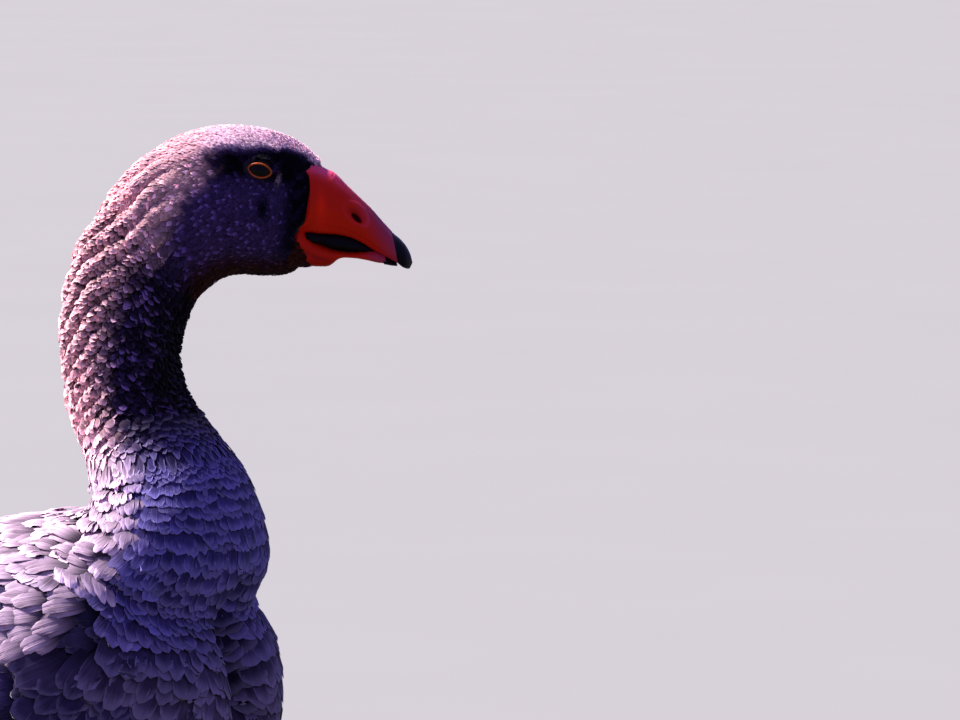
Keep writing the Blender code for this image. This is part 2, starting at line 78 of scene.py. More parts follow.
# Each section of the body, in millimetres: its name, its point on the back line (ahead of the neck's line,
# up), its point on the belly line, half its width, how far its widest place is slid up, and how square it
# is.
SECTIONS = (
    ("bill_base", (89.8, 529.5), (79.4, 479.7), 13.5, -0.05, 2.2),
    ("lores", (78.5, 539.4), (70.5, 476.4), 17.0, -0.12, 2.1),
    ("eye", (65.3, 545.0), (60.6, 476.0), 20.5, -0.16, 2.1),
    ("cheek", (50.3, 547.0), (51.0, 476.6), 23.0, -0.14, 2.1),
    ("ear", (35.2, 546.0), (42.8, 475.0), 24.5, -0.08, 2.0),
    ("occiput", (19.7, 541.2), (35.2, 469.8), 25.0, 0.0, 2.0),
    ("nape", (5.6, 532.5), (30.1, 464.2), 25.5, 0.05, 2.0),
    ("nape_low", (-7.0, 518.7), (26.8, 458.1), 26.0, 0.05, 2.0),
    ("neck_high", (-17.4, 505.1), (24.9, 451.5), 26.5, 0.0, 2.0),
    ("neck_bend", (-25.8, 491.4), (23.5, 444.9), 27.0, 0.0, 2.0),
    ("neck_back", (-31.5, 474.5), (23.0, 439.7), 27.5, 0.0, 2.0),
    ("neck_middle", (-34.8, 448.2), (23.2, 433.0), 28.0, 0.0, 2.0),
    ("neck_waist", (-33.2, 430.8), (25.0, 425.5), 28.5, 0.0, 2.0),
    ("neck_low", (-30.2, 416.7), (29.0, 417.0), 30.0, 0.0, 2.0),
    ("neck_foot", (-26.4, 402.6), (35.0, 407.5), 32.5, 0.0, 2.0),
    ("crop_top", (-21.6, 390.0), (44.0, 396.5), 37.0, 0.0, 2.0),
    ("crop_high", (-18.4, 376.5), (54.8, 382.0), 44.0, 0.0, 2.0),
    ("crop", (-19.0, 367.8), (60.6, 364.5), 53.5, 0.0, 2.0),
    ("crop_low", (-27.5, 363.6), (63.0, 341.0), 62.0, -0.05, 2.0),
    ("breast_waist", (-45.0, 360.8), (51.0, 315.0), 72.0, -0.1, 2.1),
    ("breast", (-73.0, 356.6), (62.0, 285.0), 88.0, -0.12, 2.1),
    ("keel", (-106.0, 348.5), (60.0, 247.0), 99.0, -0.08, 2.2),
    ("shoulder", (-142.0, 340.0), (49.0, 206.0), 106.0, 0.0, 2.3),
    ("flank", (-180.0, 330.0), (16.0, 165.0), 110.0, 0.0, 2.3),
    ("saddle", (-218.0, 317.5), (-38.0, 132.0), 110.0, 0.0, 2.3),
    ("loin", (-254.0, 303.5), (-105.0, 118.0), 105.0, 0.0, 2.3),
    ("paunch", (-287.0, 290.0), (-172.0, 121.0), 94.0, 0.04, 2.2),
    ("vent", (-317.0, 278.0), (-236.0, 146.0), 78.0, 0.08, 2.2),
    ("rump", (-343.0, 268.5), (-290.0, 180.0), 60.0, 0.1, 2.2),
    ("tail_root", (-367.0, 261.0), (-341.0, 212.0), 48.0, 0.1, 2.1),
    ("tail_coverts", (-392.0, 256.0), (-383.0, 232.0), 47.0, 0.0, 2.0),
    ("tail_vane", (-418.0, 252.5), (-416.0, 244.5), 54.0, 0.0, 2.0),
    ("tail_end", (-442.0, 250.5), (-442.0, 247.0), 62.0, 0.0, 2.0),
)
TAIL_BOW = 20.0  # how far the middle of the tail's end stands out, in millimetres
CLEFT_DEEP, CLEFT_WIDE = 11.0, 0.2  # the groove down the middle of the breast: millimetres, and radians

NAMES = [section[0] for section in SECTIONS]
BACK = np.array([section[1] for section in SECTIONS], float)
BELLY = np.array([section[2] for section in SECTIONS], float)
STEPS = (np.hypot(*np.diff(BACK, axis=0).T) + np.hypot(*np.diff(BELLY, axis=0).T)) / 2
ALONG = np.concatenate([[0], np.cumsum(STEPS)])
PLAN = np.column_stack([BACK, BELLY, np.array([section[3:] for section in SECTIONS], float)])

# The folded wing in a side view, in millimetres in the body's own frame: its upper and lower edges, front
# to back.
WING_TOP = np.array(
    ((133, 321), (116, 341), (72, 349), (10, 341), (-60, 321), (-130, 297), (-205, 273)), float
)
WING_FOOT = np.array(
    ((131, 303), (116, 262), (70, 232), (0, 215), (-70, 208), (-140, 216), (-205, 233)), float
)
WING_SPAN = WING_TOP[0, 0] - WING_TOP[-1, 0]


def smooth_curve(knots, values, at):
    """A curve through the values: between two knots it is a cubic whose slopes come from the neighbours."""
    knots, values, at = np.asarray(knots, float), np.asarray(values, float), np.asarray(at, float)
    slope = np.gradient(values, knots)
    i = np.clip(np.searchsorted(knots, at, side="right") - 1, 0, len(knots) - 2)
    step = knots[i + 1] - knots[i]
    u = (at - knots[i]) / step
    return (
        (2 * u**3 - 3 * u**2 + 1) * values[i]
        + (u**3 - 2 * u**2 + u) * step * slope[i]
        + (3 * u**2 - 2 * u**3) * values[i + 1]
        + (u**3 - u**2) * step * slope[i + 1]
    )


def run_length(points):
    """How far along a line each of its points lies."""
    return np.concatenate([[0], np.cumsum(np.linalg.norm(np.diff(points, axis=0), axis=1))])


def place(name):
    """How far along the body, in millimetres, a named section lies."""
    return ALONG[NAMES.index(name)]


def fade(value, start, end):
    """0 before start, 1 after end, and a smooth S between them."""
    share = np.clip((value - start) / (end - start), 0, 1)
    return share * share * (3 - 2 * share)


def bell(value, middle, width):
    """A Gaussian hump, 1 at its middle."""
    return np.exp(-(((value - middle) / width) ** 2))


def mix(first, second, share):
    return first + (second - first) * np.asarray(share)[..., None]


def side_angle(angle):
    """The angle from the back line down either side: 0 on the back, pi on the belly."""
    return np.abs((angle + np.pi) % TURN - np.pi)


def round_angles(count):
    """Angles once round, without the last, which is the first again."""
    return np.linspace(0, TURN, count, endpoint=False)


def turned(ahead, left, height, cos, sin):
    """Points from millimetres ahead of the neck's line, to its left and up, turned about that line."""
    across, forward = (ahead * sin + left * cos) * MM, NECK_X + (ahead * cos - left * sin) * MM
    return np.stack(np.broadcast_arrays(forward, across, height * MM), axis=-1)


def body_point(along, angle, grow):
    """Points of the swept body. A section's oval is a superellipse between its back and belly points, with
    its sides slid up or down; grow widens it on every side, in metres; the neck's sections turn about an
    upright line."""
    along, angle = np.broadcast_arrays(np.asarray(along, float), np.asarray(angle, float))
    plan = (smooth_curve(ALONG, column, along) for column in PLAN.T)
    back_x, back_z, belly_x, belly_z, half, high, square = plan
    half = half + grow / MM
    tall = np.hypot(back_x - belly_x, back_z - belly_z)
    stretch = 1 + 2 * grow / MM / tall
    up, side = np.cos(angle), np.sin(angle)
    up = np.sign(up) * np.abs(up) ** (2 / square)
    side = np.sign(side) * np.abs(side) ** (2 / square)
    level = (up + high * (1 - up * up)) * stretch / 2
    ahead = (back_x + belly_x) / 2 + (back_x - belly_x) * level
    height = (back_z + belly_z) / 2 + (back_z - belly_z) * level
    fan = np.clip((along - place("tail_root")) / (place("tail_end") - place("tail_root")), 0, 1)
    ahead = ahead + TAIL_BOW * fan * side * side
    reach = np.abs(along - place("breast")) / (place("keel") - place("breast_waist")) * 1.6
    ahead = ahead - CLEFT_DEEP * np.clip(1 - reach, 0, 1) * bell(angle % TURN, np.pi, CLEFT_WIDE)
    turn = HEAD_TURN * fade(along, place("crop"), place("neck_high"))
    return turned(ahead, half * side, height, np.cos(turn), np.sin(turn))


def head_point(grid):
    """Points of the turned head, from millimetres ahead of the neck's line, to its left and up."""
    return turned(grid[..., 0], grid[..., 1], grid[..., 2], HEAD_COS, HEAD_SIN)


def unit(vectors):
    return vectors / np.maximum(np.linalg.norm(vectors, axis=-1, keepdims=True), 1e-12)


def noise_wave(*fields):
    """A smooth, endless mottle between -1 and 1: sines of the fields, each bent by the next one."""
    total, bend = 0.0, 0.0
    for k, field in enumerate(fields):
        bend = np.sin(field * (1 + 0.37 * k) + 2.1 * bend + 1.7 * k)
        total = total + bend
    return total / len(fields)


# ---------------------------------------------------------------- settings


def shade(red, green, blue):
    """A colour as materials take it, from display values between 0 and 255."""
    values = np.array([red, green, blue]) / 255
    linear = np.where(values <= 0.04045, values / 12.92, ((values + 0.055) / 1.055) ** 2.4)
    return tuple(float(v) for v in linear)


def colour(name, text, *values):
    kept = dict(subtype="COLOR", min=0, max=1)
    return bpy.props.FloatVectorProperty(name=name, description=text, default=shade(*values), **kept)


def number(name, text, value, **kept):
    return bpy.props.FloatProperty(name=name, description=text, default=value, **kept)


def strength(name, text, value):
    return number(name, text, value, min=0)


def length(name, text, value):
    return number(name, text, value, min=0, precision=5, unit="LENGTH")


def rotation(name, text, degrees):
    return number(name, text, math.radians(degrees), unit="ROTATION")


class GoosePlumage(bpy.types.PropertyGroup):
    """Colours of the plumage, and how deep it lies over the skin."""

    # Pale crown, nape and back and dark chin, neck, throat and crop are partly the goose's own colours and
    # partly painted light: paler on top and behind, where the key light falls, and darker below and in front
    # as painted shade.
    crown: colour("Crown", "Top of the head", 248, 210, 220)
    face: colour("Face", "Cheek and side of the head", 78, 58, 106)
    # The mask is partly a dark marking and partly painted shade under the brow.
    mask: colour("Mask", "Dark feathers round the eye and before it", 4, 1, 14)
    chin: colour("Chin", "Chin and upper throat", 58, 26, 18)
    nape: colour("Nape", "Back of the neck", 240, 188, 190)
    neck: colour("Neck", "Sides of the neck", 62, 46, 78)
    throat: colour("Throat", "Front of the neck", 13, 8, 17)
    crop: colour("Crop", "Smooth feathers at the foot of the neck", 86, 78, 148)
    breast: colour("Breast", "Breast feathers", 92, 78, 112)
    back: colour("Back", "Mantle and shoulders", 228, 196, 216)
    wing: colour("Wing", "Wing coverts", 86, 72, 140)
    flight: colour("Flight", "Long wing and tail feathers", 66, 58, 84)
    edge: colour("Edges", "Pale edge of the larger feathers", 232, 222, 236)
    belly: colour("Belly", "Belly and under the tail", 214, 206, 222)
    # Down is partly the feathers' dark down and partly painted shade between the feathers and in the breast's
    # groove.
    down: colour("Down", "Feather bases and the skin between them", 24, 14, 36)
    head_depth: length("Head coat", "Depth of the feathers on the head", 0.0014)
    neck_depth: length("Neck coat", "Depth of the feathers on the neck", 0.0030)
    body_depth: length("Body coat", "Depth of the feathers on the body", 0.0070)
    furrow: length("Neck furrow", "Depth of the grooves between the ridges of the neck", 0.0046)
    ridges: bpy.props.IntProperty(
        name="Neck ridges", description="Ridges down each side of the neck", default=8, min=4, max=16
    )


class GooseBill(bpy.types.PropertyGroup):
    """Colours of the bill and the eyes."""

    red: colour("Bill", "Horny skin of the bill", 240, 34, 2)
    rose: colour("Bill tip", "The bill where it meets its nail", 178, 70, 104)
    nail: colour("Nail", "The hard tips and the toothed comb", 14, 14, 24)
    lid: colour("Eye ring", "Bare ring round the eye", 226, 98, 14)
    iris: colour("Iris", "The eye's coloured ring", 26, 12, 8)
    opening: length("Eye opening", "Length of the opening between the lids", 0.0098)
    nostril: length("Nostril", "Length of the nostril's slit", 0.0052)


class GooseLegs(bpy.types.PropertyGroup):
    """Colours and scale sizes of the bare legs."""

    skin: colour("Leg", "Scaled skin of the shanks, toes and webs", 224, 96, 44)
    claw: colour("Claw", "Claws", 70, 56, 58)
    scute: length("Scutes", "Spacing of the plates down the shank's front", 0.0042)


class GooseStage(bpy.types.PropertyGroup):
    """The floor, the lights and the camera."""

    floor: colour("Floor", "Plain floor", 152, 153, 147)
    azimuth: rotation("Azimuth", "Camera's turn", 22)
    elevation: rotation("Elevation", "Camera's rise", 5)
    distance: length("Distance", "Camera to subject", 3.5)
    width: length("Picture width", "Width of what the camera sees at the head", 0.4512)
    aim_ahead: length("Aim ahead", "From the neck's line to the middle of the picture", 0.163)
    aim_height: length("Aim height", "Height of the middle of the picture", 0.4364)
    key: strength("Key light", "Strength of the key light", 8.0)
    fill: strength("Fill light", "Strength of the surrounding light", 0.42)


# ---------------------------------------------------------------- meshes


def build(name, points, faces, finish, uvs=None, fields=None, crease=None, slot="plumage", stands_for=()):
    """Makes a piece. points is (count, 3); faces is a list of index arrays, one for each number of corners;
    uvs maps a UV map's name to (count, 2) and fields an attribute's name to (count,) or (count, 3) values."""
    corners = np.concatenate([f.ravel() for f in faces]).astype(np.int32)
    sizes = np.concatenate([np.full(len(f), f.shape[1]) for f in faces])
    mesh = bpy.data.meshes.new(name)
    mesh.vertices.add(len(points))
    mesh.vertices.foreach_set("co", np.asarray(points, np.float32).ravel())
    mesh.loops.add(len(corners))
    mesh.loops.foreach_set("vertex_index", corners)
    mesh.polygons.add(len(sizes))
    mesh.polygons.foreach_set("loop_start", np.concatenate([[0], np.cumsum(sizes)[:-1]]).astype(np.int32))
    mesh.update(calc_edges=True)
    for key, values in (uvs or {}).items():
        layer = mesh.uv_layers.new(name=key)
        layer.uv.foreach_set("vector", np.asarray(values, np.float32)[corners].ravel())
    for key, values in (fields or {}).items():
        values = np.asarray(values, np.float32)
        if values.ndim == 1:
            mesh.attributes.new(key, "FLOAT", "POINT").data.foreach_set("value", values)
        else:
            tinted = np.concatenate([values, np.ones((len(values), 1), np.float32)], axis=1)
            mesh.attributes.new(key, "FLOAT_COLOR", "POINT").data.foreach_set("color", tinted.ravel())
    mesh.shade_smooth()
    if crease:
        mesh.set_sharp_from_angle(angle=math.radians(crease))
    mesh.materials.append(finish)
    piece = bpy.data.objects.new(name, mesh)
    bpy.context.scene.collection.objects.link(piece)
    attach(piece, "root")
    if stands_for:
        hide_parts(*stands_for)
    return piece


def grid_quads(rows, columns):
    """Four-cornered faces of a grid that closes across, facing along (across x along)."""
    i, j = np.meshgrid(np.arange(rows - 1), np.arange(columns), indexing="ij")
    here, after = i * columns, (j + 1) % columns
    return np.stack([here + j, here + after, here + columns + after, here + columns + j], -1).reshape(-1, 4)


def tube_faces(rows, columns):
    """A closed tube: its side and a cap on each end."""
    ends = np.array([np.arange(columns)[::-1], (rows - 1) * columns + np.arange(columns)])
    return [grid_quads(rows, columns), ends]


class Sheet:
    """A closed-round surface kept as a grid over (along, across), both 0..1, with its normals.

    Between grid points everything is read by bilinear mixing."""

    def __init__(self, points):
        rows, columns = points.shape[:2]
        self.rows, self.columns = rows, columns
        by_along = np.gradient(points, axis=0) * (rows - 1)
        by_across = (np.roll(points, -1, 1) - np.roll(points, 1, 1)) * columns / 2
        normal = unit(np.cross(by_across, by_along))
        self.points, self.normal = points, normal
        grid = np.concatenate([points, normal, by_along, by_across], axis=-1)
        self.grid = np.concatenate([grid, grid[:, :1]], axis=1).astype(np.float32)

    def read(self, along, across, last=6):
        x = np.clip(along, 0, 1) * (self.rows - 1)
        y = (across % 1) * self.columns
        i = np.minimum(x.astype(int), self.rows - 2)
        j = np.minimum(y.astype(int), self.columns - 1)
        fx, fy = (x - i)[..., None].astype(np.float32), (y - j)[..., None].astype(np.float32)
        g = self.grid[..., :last]
        here, after = (g[i, k] * (1 - fx) + g[i + 1, k] * fx for k in (j, j + 1))
        return here * (1 - fy) + after * fy

    def frame(self, along, across):
        """Point, normal, and how the point moves with along and with across."""
        got = self.read(along, across, 12).astype(float)
        return got[..., :3], got[..., 3:6], got[..., 6:9], got[..., 9:]

    def find(self, x, z, low, high, rounds=8):
        """Shares of the places on the left side that show at (x, z) in a side view: the nearest of a coarse
        grid, then Newton's steps."""
        across = np.linspace(0.03, 0.47, 45)
        along = np.linspace(low, high, 120)
        a, c = (m.ravel() for m in np.meshgrid(along, across, indexing="ij"))
        coarse = self.read(a, c, 3)
        shape, x, z = np.shape(x), np.ravel(x), np.ravel(z)
        away = (coarse[None, :, 0] - x[:, None]) ** 2 + (coarse[None, :, 2] - z[:, None]) ** 2
        near = np.argmin(away, axis=1)
        a, c = a[near], c[near]
        for _ in range(rounds):
            point, _, da, dc = self.frame(a, c)
            ex, ez = x - point[:, 0], z - point[:, 2]
            det = da[:, 0] * dc[:, 2] - da[:, 2] * dc[:, 0]
            det = np.where(np.abs(det) < 1e-4, 1e-4, det)
            a = np.clip(a + np.clip((ex * dc[:, 2] - ez * dc[:, 0]) / det, -0.02, 0.02), low, high)
            c = np.clip(c + np.clip((ez * da[:, 0] - ex * da[:, 2]) / det, -0.02, 0.02), 0.015, 0.485)
        return a.reshape(shape), c.reshape(shape)


# ---------------------------------------------------------------- feathers

ROUNDNESS = 2.2  # power of a tip's curve: 2 is a parabola, more is blunter
THINNEST = 0.12 * MM  # the least dome of a vane
BAKE_PATCH = 0.003  # side of a vane's patch on the bake map


class Form:
    """The shape of one kind of feather: how finely it is divided, and shares of its length or width."""

    def __init__(self, across, along, round_tip, taper, dome, fringe, base=0.6, curl=0.0, gain=0.8):
        self.across, self.along, self.round_tip, self.taper = across, along, round_tip, taper
        self.dome, self.fringe, self.base, self.curl, self.gain = dome, fringe, base, curl, gain
        self.ring = across + 1
        self.size = self.ring * along

    def outline(self, count, long, wide, sink, rise, rng):
        """Where the points of count vanes lie, in metres along, to the side and above the skin.

        A vane widens from its base, has a rounded and slightly frayed tip, is domed from side to side, and
        climbs from sink at its root to rise at its tip. Below it one line of points closes it to a thin
        lens."""
        a = np.linspace(-1, 1, self.across)[None, None, :]
        b = np.linspace(0, 1, self.along)[None, :, None]
        long, wide, sink, rise = (np.broadcast_to(v, count)[:, None, None] for v in (long, wide, sink, rise))
        ragged = (rng.random((count, self.along, self.across)) - 0.6) * self.fringe * np.clip(b * 4 - 3, 0, 1)
        ahead = long * (b - self.round_tip * np.abs(a) ** ROUNDNESS * b**2 + ragged)
        spread = (self.base + (1 - self.base) * fade(b, 0.0, 0.45)) * (1 - self.taper * b**3)
        side = wide / 2 * a * spread
        roll = (rng.random((count, 1, 1)) - 0.5) * 0.12
        slope = sink + (rise - sink) * b**self.gain + self.curl * long * b**5
        crown = np.maximum(self.dome * wide * (0.35 + 0.65 * np.sin(np.pi * b**0.8)), THINNEST)
        up = slope + crown * (1 - a * a) + roll * side
        under = np.full((count, self.along, 1), 0.0)
        ahead = np.concatenate([ahead, long * b + under], axis=2)
        side = np.concatenate([side, under], axis=2)
        up = np.concatenate([up, slope + crown * 0.1 + under], axis=2)
        return ahead, side, up

    def faces(self, count):
        """The vane's top and bottom quads, then its two end caps, for count vanes."""
        start = np.arange(count)[:, None, None] * self.size
        return [(own[None] + start).reshape(-1, own.shape[1]) for own in tube_faces(self.along, self.ring)]

    def maps(self, root_along, root_across):
        """The vane's own map (across, along), and a small patch at its root's place on the skin's unwrap."""
        a = np.concatenate([np.linspace(0, 1, self.across), [0.5]])[None, None, :]
        b = np.linspace(0, 1, self.along)[None, :, None]
        a, b = (np.broadcast_to(v, (len(root_along), self.along, self.ring)) for v in (a, b))
        u = root_along[:, None, None] + BAKE_PATCH * (b - 0.5)
        v = root_across[:, None, None] + BAKE_PATCH * (a - 0.5)
        bake = np.stack([np.clip(u, 0, 1), np.clip(v, 0, 1)], -1).reshape(-1, 2)
        return {"Vane": np.stack([a, b], -1).reshape(-1, 2), "OFBake": bake}


def lay_on(roots, form, turn, long, wide, sink, rise, fan=0.0):
    """Points of vanes that follow their roots' sheet: a step on the surface becomes a step of its two
    shares, through the stretch at the vane's root, and the height is added along the surface's normal. A
    vane points down the sheet, turned towards the belly by turn on either side, and by fan the way across
    grows."""
    along, across = roots.along, roots.across
    _, normal, by_along, by_across = roots.sheet.frame(along, across)
    flow = unit(by_along)
    right = unit(np.cross(flow, normal))
    angle = turn * np.where((across % 1) < 0.5, 1, -1) + fan
    cos, sin = np.cos(angle)[:, None], np.sin(angle)[:, None]
    ahead, side, up = form.outline(len(along), long, wide, sink, rise, roots.rng)
    gram = np.stack([(by_along**2).sum(1), (by_along * by_across).sum(1), (by_across**2).sum(1)])
    det = gram[0] * gram[2] - gram[1] ** 2

    def shares(direction):
        one, two = (direction * by_along).sum(1), (direction * by_across).sum(1)
        got = (one * gram[2] - two * gram[1]) / det, (two * gram[0] - one * gram[1]) / det
        return (share[:, None, None] for share in got)

    (long_a, long_c), (side_a, side_c) = shares(flow * cos + right * sin), shares(right * cos - flow * sin)
    at_along = along[:, None, None] + ahead * long_a + side * side_a
    at_across = across[:, None, None] + ahead * long_c + side * side_c
    got = roots.sheet.read(at_along, at_across)
    past = np.clip(at_along - 1, 0, None)[..., None] * by_along[:, None, None, :]
    return (got[..., :3] + got[..., 3:] * up[..., None] + past).reshape(-1, 3)


def lay_along(lines, normals, form, wide, sink, rise, rng):
    """Points of vanes whose shafts follow given lines (count, rows, 3), flat to the given normals."""
    way = unit(np.gradient(lines, axis=1))
    side_way = unit(np.cross(way, normals))
    long = np.linalg.norm(np.diff(lines, axis=1), axis=2).sum(1)
    ahead, side, up = form.outline(len(lines), long, wide, sink, rise, rng)
    points = lines[:, :, None, :]
    for direction, far in ((way, ahead - ahead[..., -1:]), (side_way, side), (normals, up)):
        points = points + direction[:, :, None, :] * far[..., None]
    return points.reshape(-1, 3)


class Roots:
    """Where one piece's feathers grow: shares along and across their sheet, millimetres down the body and
    the angle from its back line; and the draws that make the feathers differ."""

    def __init__(self, sheet, along, across, columns, rng):
        self.sheet, self.along, self.across, self.columns, self.rng = sheet, along, across, columns, rng
        self.down, self.side = along_of(along), side_angle(across * TURN)

    def where(self, keep):
        return Roots(self.sheet, self.along[keep], self.across[keep], self.columns, self.rng)

    def points(self):
        return self.sheet.read(self.along, self.across)[..., :3]

    def stretch(self):
        """Metres round the sheet at each root, for one whole turn of its share across."""
        return np.linalg.norm(self.sheet.frame(self.along, self.across)[3], axis=-1)

    def apart(self, low, high):
        """Widths in metres: the distance between neighbouring columns, times a draw for each feather."""
        return self.stretch() / self.columns * self.draw(low, high)

    def draw(self, low, high):
        return self.rng.uniform(low, high, len(self.along))

    def tilt(self, spread):
        return self.rng.normal(0, spread, len(self.along))


def columns_of_roots(sheet, first, last, columns, spacing, rng, stagger=0.5, scatter=0.22):
    """Staggered roots: each column runs along the sheet, and its roots stand one spacing apart on the
    surface.

    spacing(share along) gives metres; the running sum of length over spacing is cut at whole steps."""
    across = (np.arange(columns) + 0.5) / columns
    along = np.linspace(first, last, 400)
    a, c = np.meshgrid(along, across, indexing="ij")
    rate = np.linalg.norm(sheet.frame(a, c)[2], axis=-1) / spacing(a)
    steps = np.concatenate([np.zeros((1, columns)), np.cumsum((rate[1:] + rate[:-1]) / 2, axis=0)])
    steps = steps * (along[1] - along[0])
    roots_along, roots_across = [], []
    for k in range(columns):
        whole = np.arange(int(steps[-1, k]) + 1) + stagger * (k % 2)
        whole = whole + (rng.random(len(whole)) - 0.5) * scatter * 2
        whole = whole[(whole >= 0) & (whole <= steps[-1, k])]
        roots_along.append(np.interp(whole, steps[:, k], along))
        roots_across.append(across[k] + (rng.random(len(whole)) - 0.5) * scatter * 2 / columns)
    return Roots(sheet, np.concatenate(roots_along), np.concatenate(roots_across) % 1, columns, rng)


def body_roots(sheet, start, end, columns, spacing, rng, **options):
    """Roots on the body between two places, in millimetres down it."""
    return columns_of_roots(sheet, share_of(start), share_of(end), columns, spacing, rng, **options)


def spaced(close, more, start, end):
    """A spacing of roots: close at start and close + more at end, all in millimetres, on the body."""
    return lambda share: (close + more * fade(along_of(share), start, end)) * MM


# ---------------------------------------------------------------- the skin's shape

HEAD_STEP, NECK_STEP, BODY_STEP = 0.6, 0.9, 2.6  # millimetres between the grid's rows
SHEET_COLUMNS = 384
BODY_ROWS = int((place("tail_coverts") - place("crop_top")) / BODY_STEP)
ROW_PLACES = np.concatenate([
    np.arange(0, place("nape"), HEAD_STEP),
    np.arange(place("nape"), place("crop_top"), NECK_STEP),
    np.linspace(place("crop_top"), place("tail_coverts"), BODY_ROWS),
])
ROW_SHARES = np.linspace(0, 1, len(ROW_PLACES))
HEAD_END, NECK_END, CROP_END = 88.0, 186.0, 300.0  # millimetres down the body, where each coat ends


def share_of(along):
    """The sheet's share at a number of millimetres along the body."""
    return np.interp(along, ROW_PLACES, ROW_SHARES)


def along_of(share):
    return np.interp(share, ROW_SHARES, ROW_PLACES)


def coat_depth(plumage, along):
    """How far the skin lies inside the feathered outline: least on the face, most on the body."""
    head, neck, body = plumage.head_depth, plumage.neck_depth, plumage.body_depth
    return head + (neck - head) * fade(along, 55, 95) + (body - neck) * fade(along, 180, 260)


FLOW_SIDES = np.linspace(0, np.pi, 400)
RIDGE_START = 80  # millimetres down the body
DRIFT, DRIFT_MORE = 0.010, 0.00048  # radians for each millimetre down the neck, and how that grows
NECK_RADIUS = 27  # millimetres


def flow(side):
    """How strongly the neck's ridges drift, by the angle down the side: most at the nape."""
    return 0.38 + 0.62 * fade(side, 2.3, 0.5)


FLOW_SUMS = np.concatenate([[0], np.cumsum(1 / flow(FLOW_SIDES[1:]))]) * (FLOW_SIDES[1] - FLOW_SIDES[0])


def ridge_phase(along, side, ridges):
    """Which ridge of the neck a place is on, in whole ridges.

    The ridges are the lines that drift towards the nape at drift(along) * flow(side) radians a millimetre:
    along such a line the integral of 1 / flow over the side, plus that of the drift over the length, stays
    the same."""
    down = along - RIDGE_START
    drift = DRIFT * down + 0.5 * DRIFT_MORE * down * down
    wander = 0.16 * noise_wave(along / 8.0, side * 4.0) + 0.06 * noise_wave(along / 2.9, side * 9.0)
    return ridges / np.pi * (np.interp(side, FLOW_SIDES, FLOW_SUMS) + drift) + wander


def ridge_turn(along, side):
    """The angle between the neck's ridges and the plain way down it, towards the nape."""
    drift = (DRIFT + DRIFT_MORE * np.clip(along - RIDGE_START, 0, 95)) * flow(side)
    return -np.arctan(drift * NECK_RADIUS / (1 + 0.45 * np.cos(side)))


def furrows(along, side, ridges):
    """0 in the grooves of the neck and 1 along its ridges, and how strong they are there."""
    strength = fade(along, 58, 84) * fade(along, 192, 170) * (0.5 + 0.5 * fade(side, 2.9, 2.0))
    return np.abs(np.sin(np.pi * ridge_phase(along, side, ridges))) ** 0.75, strength


def cleft(side, along, width, early=12, short=0):
    """1 in the groove down the breast: width is radians either side, early and short are millimetres."""
    start, end = place("crop_low") - early, place("breast") - short
    groove = bell(side, np.pi, width)
    return groove * fade(along, start, place("breast_waist")) * fade(along, place("keel"), end)


def wing_edges(local):
    """Heights of the folded wing's top and foot in the side view, in millimetres."""
    return (np.interp(local, edge[::-1, 0], edge[::-1, 1]) for edge in (WING_TOP, WING_FOOT))


def wing_share(points):
    """Where points lie on the folded wing in a side view: 0..1 front to back and 0..1 top to foot."""
    local = (points[..., 0] - LOCAL_X) / MM
    top, foot = wing_edges(local)
    return (WING_TOP[0, 0] - local) / WING_SPAN, (top - points[..., 2] / MM) / np.maximum(top - foot, 4)


# Soft bulges of the head: millimetres out, then middle and width of a bell down the side and of one along.
HEAD_BULGES = (
    (-1.3, 1.12, 0.30, 17, 9),  # lores
    (-0.8, 1.05, 0.22, 47, 13),  # behind the eye
    (1.5, 1.75, 0.45, 44, 18),  # cheek
    (-0.7, 1.45, 0.10, 31, 3.0),  # a dimple below the eye
)
CLEFT_SINK, WING_BULGE = 11.0 * MM, 8.5 * MM


def bulges(plumage, points, along, angle):
    """Metres that the skin stands out beyond the plain sweep: brow, cheek, neck ridges, folded wings."""
    side = side_angle(angle)
    out = 1.1 * bell(side, 0.66, 0.16) * fade(along, 8, 20) * fade(along, 62, 40)
    for high, side_middle, side_width, middle, width in HEAD_BULGES:
        out = out + high * bell(side, side_middle, side_width) * bell(along, middle, width)
    out = out - 0.9 * bell(side, 2.35, 0.14) * fade(along, 4, 14) * fade(along, 60, 40)
    # Behind the bill's base the skin draws in, most on top, so that its end stays hidden.
    out = out - 1.7 * fade(along, 7, 0) * fade(side, 0.2, 0.5)
    out = out - 0.8 * fade(along, 3, 0) * fade(side, 0.5, 0.2)
    corner = fade(side, 1.6, 1.8) * fade(side, 2.9, 2.6) + 0.5 * fade(side, 0.3, 0.5) * fade(side, 1.1, 0.9)
    out = out - 2.4 * fade(along, 10, 7) * corner
    ridge, strength = furrows(along, side, plumage.ridges)
    out = out * MM + plumage.furrow * (ridge - 0.75) * strength
    out = out - CLEFT_SINK * cleft(side, along, 0.15)
    l, a = wing_share(points)
    lengthways = np.clip(1 - np.abs(2 * l - 0.8).clip(0, 1.2) ** 4 / 2.8, 0, 1)
    crown = (1 - np.clip(np.abs(2 * a - 1), 0, 1) ** 4) * lengthways
    on_wing = (l > 0) & (l < 1.02) & (side < 2.6) & (along > place("crop_high"))
    return out + WING_BULGE * np.where(on_wing, np.clip(crown, 0, 1) ** 0.7, 0) * fade(l, 0.0, 0.12)


LID_GAP, LID_BLEND = 0.25 * MM, 1.3 * MM  # between eyeball and lid, and how softly the lid joins the face
EYE_REACH = 16 * MM
ALMOND_LONG, ALMOND_HIGH, ALMOND_TILT = 5.0 * MM, 3.0 * MM, math.radians(-13)


